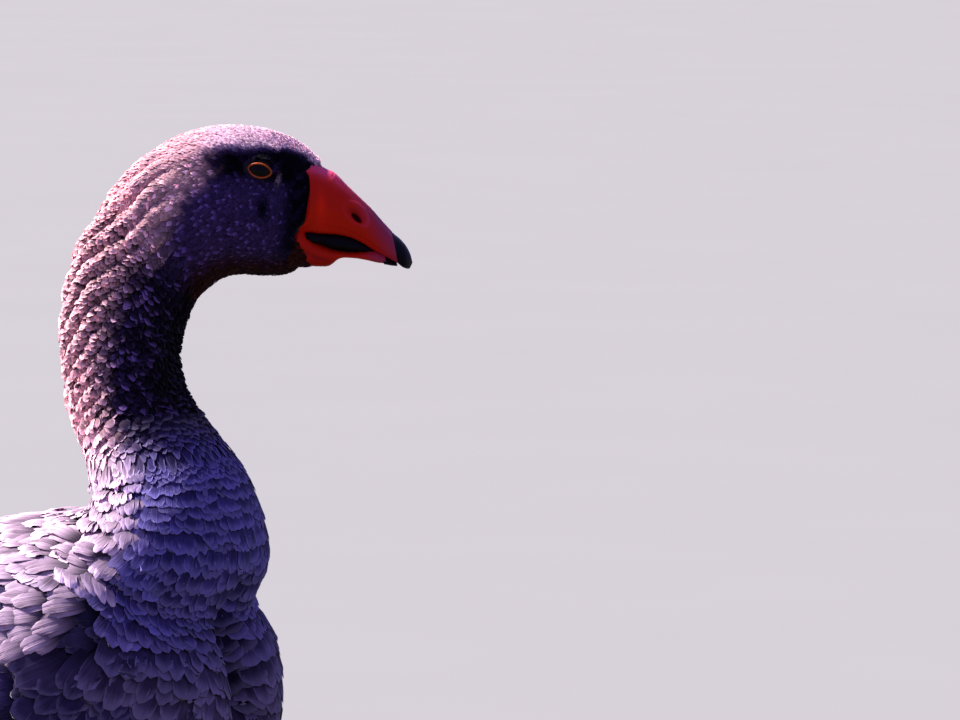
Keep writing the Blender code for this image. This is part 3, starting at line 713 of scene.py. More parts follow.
def round_the_eye(points):
    """Lifts the skin over each eyeball, as lids do, and sinks it under the opening so that the eye shows.

    The distance from the eyeball's middle becomes the smooth larger of what it was and the lid's radius."""
    for name, sign in SIDES:
        away = points - EYE[name]
        distance = np.linalg.norm(away, axis=-1)
        near = (distance < EYE_REACH) & ((away @ HEAD_LEFT) * sign > 0)
        d, x, z = distance[near], away[near] @ HEAD_AHEAD, away[near] @ UP
        lid, sunk = EYE_RADIUS + LID_GAP, EYE_RADIUS - 1.6 * MM
        lifted = (d + lid + np.sqrt((d - lid) ** 2 + LID_BLEND**2)) / 2 - LID_GAP * fade(d, lid, lid + 4 * MM)
        target = sunk + (lifted - sunk) * fade(almond_share(x, z), 1.0, 1.22)
        points[near] = EYE[name] + away[near] * (target / d)[:, None]
    return points


def almond_share(x, z):
    """Below 1 inside the eye's opening: an ellipse with its corners drawn out, tipped down at the front."""
    u = x * math.cos(ALMOND_TILT) + z * math.sin(ALMOND_TILT)
    w = -x * math.sin(ALMOND_TILT) + z * math.cos(ALMOND_TILT)
    return np.abs(u / ALMOND_LONG) ** 1.6 + np.abs(w / ALMOND_HIGH) ** 1.6


# How far ahead the feathers reach at each height, in the head's millimetres: (up, ahead).
BILL_EDGE = np.array((
    (480, 79.5), (486.7, 78.6), (489.5, 78.0), (493, 77.4), (498.5, 77.7), (501.5, 80.5), (504, 82.3),
    (509, 83.4), (518, 83.6), (524, 82.9), (526.4, 82.2), (527.2, 85.0), (528.0, 91.0),
))


def bill_edge(height):
    """How far ahead the feathers reach at a height: the bill's bare skin starts there."""
    return smooth_curve(BILL_EDGE[:, 0], BILL_EDGE[:, 1], np.clip(height, BILL_EDGE[0, 0], BILL_EDGE[-1, 0]))


def body_sheet(plumage):
    """The skin's surface: the body's sweep, drawn in by the depth of the coat, with its bulges."""
    along, angle = ROW_PLACES[:, None], round_angles(SHEET_COLUMNS)[None, :]
    points = body_point(along, angle, -coat_depth(plumage, along))
    along, angle = np.broadcast_arrays(along, angle)
    plain = Sheet(points)
    points = points + plain.normal * bulges(plumage, points, along, angle)[..., None]
    return Sheet(round_the_eye(points))


# The left thigh in millimetres in the body's own frame: hip and hock, the oval's half width and half depth
# at each, and how far the skin lies inside them at the hip.
HIP, HOCK = np.array([-5.0, 54, 182]), np.array([-47.0, 49, 93])
THIGH_WIDE, THIGH_DEEP, THIGH_COAT = (27, 6.2), (37, 7.0), 3.2


def thigh_sheet(sign):
    """A feathered drumstick: ovals along the line from hip to hock, narrowing faster and faster downwards."""
    hip, hock = (np.array([LOCAL_X + x * MM, y * sign * MM, z * MM]) for x, y, z in (HIP, HOCK))
    share = np.linspace(0, 1, 60)[:, None, None]
    way = unit(hock - hip)
    side = unit(np.cross(way, [1.0, 0, 0])) * sign
    front = np.cross(side, way) * sign
    turn = round_angles(96)[None, :, None]
    outer = (top + (foot - top) * share**1.25 for top, foot in (THIGH_WIDE, THIGH_DEEP))
    wide, deep = ((half - THIGH_COAT * (1 - share)) * MM for half in outer)
    shaft = hip + (hock - hip) * share
    points = shaft + side * sign * wide * np.cos(turn) - front * deep * np.sin(turn)
    sheet = Sheet(points)
    faces_out = ((points - shaft) * sheet.normal).sum(-1).mean() > 0
    return sheet if faces_out else Sheet(points[:, ::-1])


# ---------------------------------------------------------------- markings

SIZES = ("head_depth", "neck_depth", "body_depth", "furrow", "ridges")


def plumage_tone(plumage, along, side):
    """The colour of the plumage at a place: smooth zones laid over one another, from face to tail.

    along is millimetres down the body and side the angle from the back line, 0 to pi."""
    colours = [key for key in GoosePlumage.__annotations__ if key not in SIZES]
    tone = {key: np.array(getattr(plumage, key)[:]) for key in colours}
    mottle = noise_wave(along / 1.9, side * 14, along / 3.7)
    broad = noise_wave(along / 21, side * 3.1)
    got = mix(tone["face"], tone["chin"], fade(side + 0.1 * mottle, 2.0, 2.6))
    # The dark mask lies below the crown's edge: a band round the eye, and the lores in front of it. It is
    # partly a dark marking and partly painted shade under the brow.
    edge = np.clip(0.33 + 0.0105 * along, 0, 0.68)
    dark = np.maximum(
        fade(side, edge, edge + 0.16) * fade(side, 1.32, 0.98) * fade(along, 66, 38),
        fade(along, 19, 9) * fade(side, 0.5, 0.7) * fade(side, 2.5, 2.0),
    )
    got = mix(got, tone["mask"], np.clip(dark + 0.25 * mottle * dark, 0, 1))
    got = mix(got, tone["mask"], bell(along, 24.2, 3.4) * bell(side, 1.48, 0.17))
    got = mix(got, tone["crown"], 0.5 * bell(along, 18.2, 1.1) * bell(side, 1.06, 0.08))
    # The crown is pale: partly its own colour and partly painted light from above.
    got = mix(got, tone["crown"], fade(side + 0.07 * mottle, edge + 0.08, edge - 0.06) * fade(along, -1, 1))
    # The neck is pale behind, and its dark front starts further down on the cheek's side: the pale back is
    # partly painted light and the dark front and throat partly painted shade.
    neck = mix(tone["nape"], tone["neck"], fade(side + 0.15 * mottle - 0.3 * fade(along, 100, 70), 1.1, 1.75))
    neck = mix(neck, tone["throat"], fade(side + 0.2 * broad, 1.7, 2.5) * fade(along, 182, 150))
    late = 24 * fade(side, 1.0, 1.75)
    got = mix(got, neck, fade(along + 4 * mottle, 40 + late, 58 + late))
    # Below the neck the mantle is pale and the crop's sides are darker: partly their own colours, partly
    # painted light behind and painted shade in front.
    low = mix(tone["back"], tone["crop"], fade(side + 0.12 * broad, 1.35, 1.85))
    got = mix(got, low, fade(along + 6 * broad, 172, 196))
    breast = mix(tone["back"], tone["breast"], fade(side + 0.1 * broad, 0.95, 1.4))
    got = mix(got, breast, fade(along + 8 * broad, 236, 290))
    got = mix(got, tone["belly"], fade(along + 12 * broad, 425, 500) * fade(side, 1.7, 2.3))
    got = mix(got, tone["belly"], fade(along + 8 * broad, 628, 672) * fade(side, 0.05, 0.35))
    # The groove down the breast takes the dark down colour: painted shade in the groove.
    got = mix(got, tone["down"], np.minimum(1.1 * cleft(side, along, 0.11), 1))
    return got * (1 + 0.10 * mottle + 0.08 * broad)[..., None]


# ---------------------------------------------------------------- node groups and materials


class Wire:
    """A value in a shader; a sum with it adds a Math node to its tree."""

    def __init__(self, tree, socket):
        self.tree, self.socket = tree, socket

    def __add__(self, other):
        return maths(self.tree, "ADD", self, other)

    def __sub__(self, other):
        return maths(self.tree, "SUBTRACT", self, other)

    def __rsub__(self, other):
        return maths(self.tree, "SUBTRACT", other, self)

    def __mul__(self, other):
        return maths(self.tree, "MULTIPLY", self, other)

    def into(self, socket):
        self.tree.links.new(self.socket, socket)


def node(tree, kind, inputs=None, **options):
    """Adds a node; a wire given as an input's value is linked, and anything else is set."""
    made = tree.nodes.new(f"ShaderNode{kind}")
    for key, value in options.items():
        setattr(made, key, value)
    for key, value in (inputs or {}).items():
        if isinstance(value, Wire):
            value.into(made.inputs[key])
        else:
            made.inputs[key].default_value = value
    return made


def wire(tree, kind, output=0, inputs=None, **options):
    """One output of a new node."""
    return Wire(tree, node(tree, kind, inputs, **options).outputs[output])


def maths(tree, operation, first, second=0.0, clamp=False):
    return wire(tree, "Math", 0, {0: first, 1: second}, operation=operation, use_clamp=clamp)


def ramp(value, start, end):
    """A smooth step of a value from 0 to 1."""
    inputs = {"Value": value, "From Min": start, "From Max": end}
    return wire(value.tree, "MapRange", "Result", inputs, interpolation_type="SMOOTHSTEP")


def tint(share, first, second):
    return wire(share.tree, "Mix", 2, {0: share, 6: first, 7: second}, data_type="RGBA")


def scaled(value, factor):
    return wire(value.tree, "VectorMath", 0, {0: value, "Scale": factor}, operation="SCALE")


def noise(spot, scale, detail):
    return wire(spot.tree, "TexNoise", "Fac", {"Vector": spot, "Scale": scale, "Detail": detail})


def field(tree, name, output="Fac"):
    """A value that the piece carries at its points."""
    return wire(tree, "Attribute", output, attribute_name=name)


def own_place(tree):
    return wire(tree, "TexCoord", "Object")


def group(name, inputs, outputs):
    """An empty shader group: its tree, the wires of its inputs by name, and the node its outputs go to."""
    tree = bpy.data.node_groups.new(name, "ShaderNodeTree")
    for key, (kind, default) in inputs.items():
        socket = tree.interface.new_socket(name=key, in_out="INPUT", socket_type=f"NodeSocket{kind}")
        if default is not None:
            socket.default_value = default
    for key, kind in outputs.items():
        tree.interface.new_socket(name=key, in_out="OUTPUT", socket_type=f"NodeSocket{kind}")
    entry, leave = tree.nodes.new("NodeGroupInput"), tree.nodes.new("NodeGroupOutput")
    return tree, {key: Wire(tree, entry.outputs[key]) for key in inputs}, leave


BARB_LEAN = 0.45  # how far a barb has run towards the tip when it has crossed its half of the vane


def vane_group():
    """A feather's own pattern over its map (0..1 across, 0..1 from root to tip): barbs slanting off the
    shaft, a dark base, partly down and partly painted shade where the feathers overlap, a pale edge with a
    dark crescent inside it that is painted shadow, and a brightness of its own."""
    inputs = {
        "Vane": ("Vector", None), "Tone": ("Color", (1, 1, 1, 1)), "Edge": ("Color", (1, 1, 1, 1)),
        "Down": ("Color", (0, 0, 0, 1)), "Luck": ("Float", 0.5), "Edge Strength": ("Float", 0.5),
        "Edge Width": ("Float", 0.2), "Crescent": ("Float", 0.3), "Base Length": ("Float", 0.6),
        "Base Tone": ("Float", 0.0), "Tip Gain": ("Float", 0.0), "Barbs": ("Float", 18.0),
        "Barb Contrast": ("Float", 0.2),
    }
    tree, given, leave = group("vane_pattern", inputs, {"Color": "Color", "Height": "Float"})
    parts = node(tree, "SeparateXYZ", {0: given["Vane"]}).outputs
    across, along = Wire(tree, parts[0]), Wire(tree, parts[1])
    off = maths(tree, "ABSOLUTE", (across - 0.5) * 2.0)
    shift = given["Luck"] * 37.0
    offset = wire(tree, "CombineXYZ", 0, {0: shift, 1: shift})
    moved = wire(tree, "VectorMath", 0, {0: given["Vane"], 1: offset}, operation="ADD")
    uneven = noise(moved, 5.0, 3.0) - 0.5
    slant = (off - along * BARB_LEAN) * given["Barbs"]
    strand = wire(tree, "CombineXYZ", 0, {0: slant, 1: along, 2: shift})
    wave = (noise(strand, 1.0, 2.0) - 0.5) * 3.0
    shaft = ramp(off, 0.09, 0.02)
    rim = maths(tree, "MAXIMUM", maths(tree, "POWER", off, ROUNDNESS), along) + uneven * 0.12
    inner = 1.0 - given["Edge Width"]
    # A dark crescent just inside the pale edge: a painted shadow.
    pale, dusk = ramp(rim, inner, 1.0), ramp(rim, inner - 0.22, inner)
    light = given["Luck"] * 0.28 + 0.86 + uneven * 0.35 + wave * (given["Barb Contrast"] * 0.5) + shaft * 0.10
    light = light - dusk * given["Crescent"] + pale * given["Tip Gain"]
    toned = scaled(given["Tone"], light)
    edged = tint(maths(tree, "MULTIPLY", pale, given["Edge Strength"], True), toned, given["Edge"])
    # The base darkens towards the root: partly down, partly painted shade where the feathers overlap.
    root = tint(given["Base Tone"], given["Down"], scaled(toned, 0.72))
    tint(ramp(along, 0.05, given["Base Length"]), root, edged).into(leave.inputs["Color"])
    (wave * 0.5 + shaft * 1.5).into(leave.inputs["Height"])
    return tree


def grain_group():
    """Fine unevenness of bare skin and horn over the object's own place: pores, creases, a broad mottle."""
    inputs = {"Place": ("Vector", None), "Scale": ("Float", 600.0)}
    tree, given, leave = group("grain", inputs, {"Height": "Float", "Mottle": "Float", "Cells": "Float"})
    spot, scale = given["Place"], given["Scale"]
    cells = wire(tree, "TexVoronoi", "Distance", {"Vector": spot, "Scale": scale}, feature="DISTANCE_TO_EDGE")
    noise(spot, scale, 4.0).into(leave.inputs["Height"])
    noise(spot, scale * 0.16, 3.0).into(leave.inputs["Mottle"])
    ramp(cells, 0.0, 0.12).into(leave.inputs["Cells"])
    return tree


def shared(tree, name, maker, inputs):
    """A shared group in a material, made the first time it is asked for: its outputs by name."""
    made = node(tree, "Group", inputs, node_tree=bpy.data.node_groups.get(name) or maker())
    return {socket.name: Wire(tree, socket) for socket in made.outputs}


def new_finish(name, roughness, **constants):
    """A material with a Principled shader; the constants are set on the shader's own sockets."""
    made = bpy.data.materials.new(name)
    made.use_nodes = True
    shader = made.node_tree.nodes["Principled BSDF"]
    for key, value in {"Roughness": roughness, **constants}.items():
        shader.inputs[key.replace("_", " ")].default_value = value
    return made, made.node_tree, shader


def bumped(shader, height, strength, distance):
    inputs = {"Height": height, "Strength": strength, "Distance": distance}
    wire(height.tree, "Bump", "Normal", inputs).into(shader.inputs["Normal"])


def opaque(values):
    return (*values[:3], 1.0)


# How each kind of feather looks: roughness, sheen, then the inputs of its pattern in this order.
VANE_INPUTS = (
    "Edge Strength", "Edge Width", "Crescent", "Base Length", "Base Tone", "Tip Gain", "Barbs",
    "Barb Contrast",
)
FEATHERS = {
    "head_feather": (0.85, 0.06, 0.0, 0.45, 0.0, 0.6, 0.9, 0.45, 2.5, 0.3),
    "neck_tuft": (0.85, 0.1, 0.0, 0.5, 0.0, 0.9, 0.05, 0.6, 3.0, 0.25),
    "crop_feather": (0.85, 0.12, 0.14, 0.35, 0.15, 0.98, 0.08, 0.75, 3.4, 1.0),
    "body_feather": (0.85, 0.3, 0.1, 0.2, 0.15, 0.9, 0.2, 0.35, 3.5, 0.9),
    "thigh_feather": (0.85, 0.35, 0.2, 0.2, 0.1, 0.5, 0.05, 0.4, 4.0, 0.8),
    "covert": (0.8, 0.25, 0.1, 0.2, 0.25, 0.8, 0.1, 0.2, 4.0, 0.85),
    "flight_feather": (0.62, 0.15, 0.85, 0.07, 0.2, 0.2, 0.0, 0.0, 90.0, 0.12),
    "tail_feather": (0.66, 0.15, 0.95, 0.10, 0.15, 0.2, 0.0, 0.0, 60.0, 0.12),
}


def feather_finish(name, plumage):
    """A feather's material: the marking colour of its place, with the vane's own pattern."""
    roughness, sheen, *pattern = FEATHERS[name]
    soft = dict(Sheen_Weight=sheen, Sheen_Roughness=0.45, Specular_IOR_Level=0.06)
    made, tree, shader = new_finish(name, roughness, **soft)
    inputs = {
        "Vane": wire(tree, "UVMap", "UV", uv_map="Vane"), "Tone": field(tree, "tone", "Color"),
        "Luck": field(tree, "luck"), "Edge": opaque(plumage.edge), "Down": opaque(plumage.down),
    }
    used = shared(tree, "vane_pattern", vane_group, {**inputs, **dict(zip(VANE_INPUTS, pattern))})
    used["Color"].into(shader.inputs["Base Color"])
    bumped(shader, used["Height"], 0.5, 0.12 * MM)
    return made


def skin_finish():
    """The skin between the feathers: the same markings, darkened as painted shade between the feathers,
    with a downy grain.
    """
    made, tree, shader = new_finish("downy_skin", 0.9, Sheen_Weight=0.2, Sheen_Roughness=0.6)
    used = shared(tree, "grain", grain_group, {"Place": own_place(tree), "Scale": 900.0})
    scaled(field(tree, "tone", "Color"), used["Height"] * 0.35 + 0.22).into(shader.inputs["Base Color"])
    bumped(shader, used["Height"], 0.7, 0.4 * MM)
    return made


def skin_tinted(name, first, second, roughness, scale, bump, cells=0.0, **constants):
    """Bare skin or horn: two colours mixed by the piece's tint field, mottled, with pores and creases."""
    made, tree, shader = new_finish(name, roughness, **constants)
    used = shared(tree, "grain", grain_group, {"Place": own_place(tree), "Scale": scale})
    base = tint(field(tree, "tint"), opaque(first), opaque(second))
    # A darkening field lowers the colour: on the bill it holds painted shade in hollows and creases and,
    # below zero, painted highlights; on the nails it is their own darkness.
    light = (used["Mottle"] * 0.40 + 0.80) * (1.0 - field(tree, "dusk"))
    height = used["Height"]
    if cells:
        light = light * (used["Cells"] * cells + (1 - cells))
        height = height + used["Cells"] * 1.5
    scaled(base, light).into(shader.inputs["Base Color"])
    (used["Mottle"] * 0.16 + (roughness - 0.08)).into(shader.inputs["Roughness"])
    bumped(shader, height, 0.5, bump)
    return made


# ---------------------------------------------------------------- pieces


class Piece:
    """What the operators share: they can be undone, and they finish or raise an error."""

    bl_options = {"REGISTER", "UNDO"}

    def execute(self, context):
        self.make(context.scene)
        return {"FINISHED"}


SHEETS = {}


def skin_sheet(plumage):
    """The skin's surface, worked out once for each set of depths."""
    key = tuple(getattr(plumage, size) for size in SIZES)
    if key not in SHEETS:
        SHEETS[key] = body_sheet(plumage)
    return SHEETS[key]


def merged(name, first, others):
    """Applies one exact union after another and leaves a single closed mesh."""
    for other in others:
        join = first.modifiers.new(other.name, "BOOLEAN")
        join.operation, join.solver, join.object = "UNION", "EXACT", other
    bpy.context.view_layer.update()
    mesh = bpy.data.meshes.new_from_object(first.evaluated_get(bpy.context.evaluated_depsgraph_get()))
    first.modifiers.clear()
    first.data = mesh
    mesh.name = name
    for other in others:
        bpy.data.objects.remove(other)
    return first


class GOOSE_OT_skin(Piece, bpy.types.Operator):
    """The skin: one closed surface under the coat, from the bill to the tail's coverts and the hocks."""

    bl_idname = "goose.skin"
    bl_label = "Skin"

    def make(self, scene):
        plumage, finish = scene.goose_plumage, skin_finish()
        points = skin_sheet(plumage).points[::2, ::2]
        along, angle = np.broadcast_arrays(ROW_PLACES[::2, None], round_angles(points.shape[1])[None, :])
        tone = plumage_tone(plumage, along.ravel(), side_angle(angle).ravel())
        parts = [self.part("skin", points, tone, finish)]
        for side, sign in SIDES:
            thigh = thigh_sheet(sign).points[::2, ::4]
            pale = np.broadcast_to(np.array(plumage.belly[:]) * 0.9, (thigh[..., 0].size, 3))
            parts.append(self.part(f"drumstick_{side}", thigh, pale, finish))
        skin = merged("skin", parts[0], parts[1:])
        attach(skin, "root")
        sides = [f"{node_name}_{side}" for node_name in ("wing", "thigh") for side, _ in SIDES]
        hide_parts("head", "neck_upper", "neck_lower", "crop", "breast", "trunk", "rump", *sides)

    @staticmethod
    def part(name, points, tone, finish):
        faces = tube_faces(*points.shape[:2])
        return build(name, points.reshape(-1, 3), faces, finish, fields={"tone": tone})


STRIP_FILL = 1.75  # how far the strips of one feather overlap: the sum of their widths over its own


def strip_places(count, strips, spread, rng):
    """Where the strips of each feather stand over its width, -1..1, each a little off its even place."""
    return (np.arange(strips) + 0.5) / strips * 2 - 1 + rng.normal(0, spread / strips, (count, strips))


def vanes(name, points, form, finish, tones, luck, shares, **options):
    """One piece of vanes, each with its tone, its luck (a brightness of its own) and its place on the bake
    map."""
    fields = {"tone": np.repeat(tones, form.size, axis=0), "luck": np.repeat(luck, form.size)}
    return build(name, points, form.faces(len(luck)), finish, form.maps(*shares), fields, **options)


def coat(name, roots, form, finish, tones, long, wide, sink, rise, turn, slot="plumage", strips=1, bow=0.12):
    """One piece of coat: vanes laid on a sheet at the given roots.

    With strips above 1 each feather is parted into that many vanes side by side, as its loose barbs part
    it: they stand evenly over its width, fan out a little, and end on its rounded tip; the outer ones lie
    lower by bow."""
    rng, fan = roots.rng, 0.0
    if strips > 1:
        off = strip_places(len(wide), strips, 0.5 / 3, rng)
        half = wide / 2 * (1 - 0.7 / strips) / roots.stretch()
        across = (roots.across[:, None] + off * half[:, None]).ravel() % 1
        ragged = rng.uniform(-0.06, 0.03, off.shape)
        long = (long[:, None] * (1 - form.round_tip * 1.3 * np.abs(off) ** ROUNDNESS + ragged)).ravel()
        rise = (rise[:, None] * (1 - bow * off**2 + rng.uniform(-0.06, 0.0, off.shape))).ravel()
        fan = (0.16 * off + rng.normal(0, 0.05, off.shape)).ravel()
        sink = np.broadcast_to(sink, len(off))
        wide = wide / strips * STRIP_FILL
        along, wide, turn, sink = (np.repeat(v, strips) for v in (roots.along, wide, turn, sink))
        tones = np.repeat(tones, strips, axis=0) * rng.uniform(0.9, 1.08, (off.size, 1))
        roots = Roots(roots.sheet, along, across, roots.columns, rng)
    points = lay_on(roots, form, turn, long, wide, sink, rise, fan)
    along, margin = roots.along, 0.005
    shares = (along - along.min()) / np.ptp(along) * 0.99 + margin, roots.across * 0.99 + margin
    return vanes(name, points, form, finish, tones, rng.random(len(along)), shares, crease=52, slot=slot)


SCALY = Form(3, 4, round_tip=0.32, taper=0.2, dome=0.13, fringe=0.10)


def head_ahead(points):
    """Millimetres ahead of the neck's line, the way the head looks."""
    return ((points - [NECK_X, 0, 0]) @ HEAD_AHEAD) / MM


class GOOSE_OT_head_coat(Piece, bpy.types.Operator):
    """Small scaly feathers of the head, smallest round the eye and at the bill's base."""

    bl_idname = "goose.head_coat"
    bl_label = "Head coat"

    def make(self, scene):
        plumage, rng, columns = scene.goose_plumage, np.random.default_rng(11), 150
        finish = feather_finish("head_feather", plumage)
        for name, start, end in (("face_coat", 1.0, 40.0), ("head_coat", 40.0, HEAD_END)):
            roots = body_roots(skin_sheet(plumage), start, end, columns, spaced(1.05, 0.45, 6, 60), rng)
            at = roots.points()
            keep = head_ahead(at) < bill_edge(at[:, 2] / MM) - 0.6
            for side, sign in SIDES:
                away = at - EYE[side]
                near = ((away @ HEAD_LEFT) * sign > 0) & (np.linalg.norm(away, axis=1) < 12 * MM)
                keep &= ~(near & (almond_share(away @ HEAD_AHEAD, away @ UP) < 1.9))
            roots, at = roots.where(keep), at[keep]
            down, side = roots.down, roots.side
            small = np.minimum(*(np.linalg.norm(at - EYE[name], axis=1) for name, _ in SIDES))
            small = 0.6 + 0.4 * fade(small, 7 * MM, 15 * MM)
            size = (2.4 + 1.5 * fade(down, 6, 70)) * small * roots.draw(0.8, 1.3) * MM
            wide = roots.apart(1.2, 1.6) * (0.7 + 0.3 * small)
            deep = coat_depth(plumage, down)
            loose = fade(side, 1.0, 0.6) * fade(down, 25, 45)
            rise = deep * roots.draw(0.55, 0.9) * small * (1 + 0.35 * loose)
            turn = -0.18 * fade(side, 2.4, 0.6) * fade(down, 20, 60) + roots.tilt(0.14)
            lot, cheek = rng.random(len(down)), side > 0.8
            # Random pale flecks on the cheek; above it the tufts are brightened, painted light on the top of
            # the head.
            light = 0.55 + 0.4 * lot + 1.3 * (lot > 0.88) * cheek + 0.25 * ~cheek
            tones = plumage_tone(plumage, down, side) * light[:, None]
            coat(name, roots, SCALY, finish, tones, size, wide, 0.2 * deep, rise, turn, slot="head_plumage")


class GOOSE_OT_neck_coat(Piece, bpy.types.Operator):
    """Tufts of the neck, standing on its slanting ridges, with ragged tips along the nape and a ruff at its
    foot."""

    bl_idname = "goose.neck_coat"
    bl_label = "Neck coat"

    def make(self, scene):
        plumage, rng, columns = scene.goose_plumage, np.random.default_rng(23), 126
        finish = feather_finish("neck_tuft", plumage)
        form = Form(5, 4, round_tip=0.36, taper=0.1, dome=0.2, fringe=0.06, base=0.65)
        spacing = spaced(2.1, 1.3, 130, 190)
        bands = (("neck_upper_coat", HEAD_END - 10, 134.0), ("neck_lower_coat", 134.0, NECK_END))
        for name, start, end in bands:
            roots = body_roots(skin_sheet(plumage), start, end, columns, spacing, rng, scatter=0.3)
            ridge, strength = furrows(roots.down, roots.side, plumage.ridges)
            top = 1 - strength * (1 - ridge)
            keep = top > 0.40 + 0.20 * rng.random(len(top))
            roots, top = roots.where(keep), top[keep]
            down, side = roots.down, roots.side
            ruff = bell(down, 160, 9) * fade(side, 1.1, 0.3)
            size = (3.5 + 1.9 * fade(down, 130, 190)) * roots.draw(0.8, 1.25) * MM * (1 + 0.6 * ruff)
            wide = roots.apart(1.05, 1.5) * (1 + 0.5 * fade(down, 160, 186))
            rise = coat_depth(plumage, down) * roots.draw(0.45, 0.85) * (0.4 + 0.6 * top)
            rise = rise + 4.0 * MM * ruff * rng.random(len(down)) ** 2
            turn = ridge_turn(down, side) * fade(down, 70, 95) * fade(down, 186, 168) + roots.tilt(0.12)
            # Tufts in the grooves are darkened, painted shade; on the sides every third tuft or so is
            # brightened, a painted highlight as if it caught the light, and the others stay dim.
            lot = roots.draw(0.65, 1.3) + fade(side, 1.2, 1.9) * (4.6 * (rng.random(len(down)) > 0.66) - 0.55)
            tones = plumage_tone(plumage, down, side) * (0.2 + 0.9 * top**2 * lot)[:, None]
            coat(name, roots, form, finish, tones, size, wide, -0.4 * MM, rise, turn)


class GOOSE_OT_crop_coat(Piece, bpy.types.Operator):
    """Broad overlapping feathers of the neck's foot and the crop, puffed up at the back."""

    bl_idname = "goose.crop_coat"
    bl_label = "Crop coat"

    def make(self, scene):
        plumage, finish = scene.goose_plumage, feather_finish("crop_feather", scene.goose_plumage)
        strip = Form(5, 6, round_tip=0.14, taper=0.1, dome=0.05, fringe=0.09)
        puff = Form(5, 8, round_tip=0.24, taper=0.0, dome=0.10, fringe=0.09, curl=-0.16, gain=0.5)
        tuft = Form(5, 5, round_tip=0.36, taper=0.0, dome=0.2, fringe=0.05)
        bands = (  # name, start, end, columns, spacing at both ends, seed, strips, form
            ("neck_foot_coat", NECK_END - 18, 198.0, 82, 3.0, 4.4, 29, 1, tuft),
            ("crop_upper_coat", 190.0, 234.0, 48, 4.4, 8.4, 31, 3, strip),
            ("crop_coat", 224.0, CROP_END, 40, 7.8, 10.5, 37, 4, strip),
            ("crop_puffs", 188.0, 272.0, 30, 6.6, 10.4, 39, 5, puff),
        )
        for name, start, end, columns, close, far, seed, strips, form in bands:
            spacing, stagger = spaced(close, far - close, start, end), 0.15 if form is strip else 0.5
            rng, sheet = np.random.default_rng(seed), skin_sheet(plumage)
            roots = body_roots(sheet, start, end, columns, spacing, rng, stagger=stagger, scatter=0.14)
            back = fade(roots.side + 0.06 * noise_wave(roots.down / 5, roots.side * 9), 2.0, 1.6)
            back = back * fade(roots.down, 270, 244) > 0.5
            keep = {puff: back, strip: ~back, tuft: ~back | (roots.down < 194)}[form]
            roots = roots.where(keep & ~under_wing(roots, 0.03))
            down, side = roots.down, roots.side
            deep = coat_depth(plumage, down)
            size = spacing(roots.along) * roots.draw(2.0, 2.5)
            wide = roots.apart(1.7, 2.2)
            rise, turn, sink = deep * roots.draw(0.84, 1.0), roots.tilt(0.07), 0.45 * deep
            tones = plumage_tone(plumage, down, side) * roots.draw(0.66, 1.22)[:, None]
            if form is tuft:
                size, wide, sink = size * 0.72, wide * 0.75, 0.3 * deep
                # Towards the back the tufts are brightened: painted light.
                tones = tones * (1 + 0.4 * fade(side, 1.8, 1.3))[:, None]
            if form is puff:
                size, wide = size * (0.52 + 0.22 * fade(down, 192, 214)), wide * 0.82
                turn = turn + roots.tilt(0.18)
                rise, sink = deep * 0.85 + roots.draw(-0.6 * MM, 3.4 * MM), -0.4 * deep
                # The puffs on the back are brightened: painted light.
                tones = tones * 1.25
            bow = 0.5 if form is puff else 0.12
            coat(name, roots, form, finish, tones, size, wide, sink, rise, turn, strips=strips, bow=bow)


def under_wing(roots, margin):
    """True where a root would be hidden below the folded wing."""
    l, a = wing_share(roots.points())
    return (l > margin) & (l < 0.97) & (a > margin) & (a < 1.03) & (roots.side < 2.5)


class GOOSE_OT_body_coat(Piece, bpy.types.Operator):
    """Feathers of the breast, mantle, flanks, belly, rump and vent."""

    bl_idname = "goose.body_coat"
    bl_label = "Body coat"

    def make(self, scene):
        plumage, finish = scene.goose_plumage, feather_finish("body_feather", scene.goose_plumage)
        form = Form(5, 6, round_tip=0.2, taper=0.1, dome=0.05, fringe=0.07)
        bands = (  # name, start, end, columns, spacing at both ends, seed
            ("breast_coat", CROP_END - 12, 440.0, 58, 10.5, 12.0, 41),
            ("trunk_coat", 430.0, 620.0, 58, 12.0, 13.0, 43),
            ("rump_coat", 610.0, 728.0, 44, 12.0, 9.0, 47),
        )
        for name, start, end, columns, close, far, seed in bands:
            spacing, rng = spaced(close, far - close, start, end), np.random.default_rng(seed)
            roots = body_roots(skin_sheet(plumage), start, end, columns, spacing, rng, scatter=0.16)
            gap = cleft(roots.side, roots.down, 0.06, early=6, short=10)
            roots = roots.where((gap < 0.35) & ~under_wing(roots, 0.07))
            down, side = roots.down, roots.side
            deep = coat_depth(plumage, down)
            size = spacing(roots.along) * roots.draw(2.1, 2.6)
            wide = roots.apart(1.7, 2.1)
            rise, turn = deep * roots.draw(0.85, 1.05), roots.tilt(0.06)
            tones = plumage_tone(plumage, down, side) * roots.draw(0.78, 1.15)[:, None]
            # Round the wing's front edge the feathers are darkened towards the wing's colour: painted shade
            # under and before the wing.
            l, a = wing_share(roots.points())
            dark = fade(l, -0.12, 0.0) * fade(l, 0.5, 0.3) * fade(a, 0.3, 0.7) * fade(a, 2.0, 1.4)
            tones = mix(tones, np.array(plumage.wing[:]) * 0.45, 0.75 * dark * fade(side, 2.5, 2.2))
            sink = 0.42 * deep * fade(down, 728, 690)
            coat(name, roots, form, finish, tones, size, wide, sink, rise, turn, strips=3)


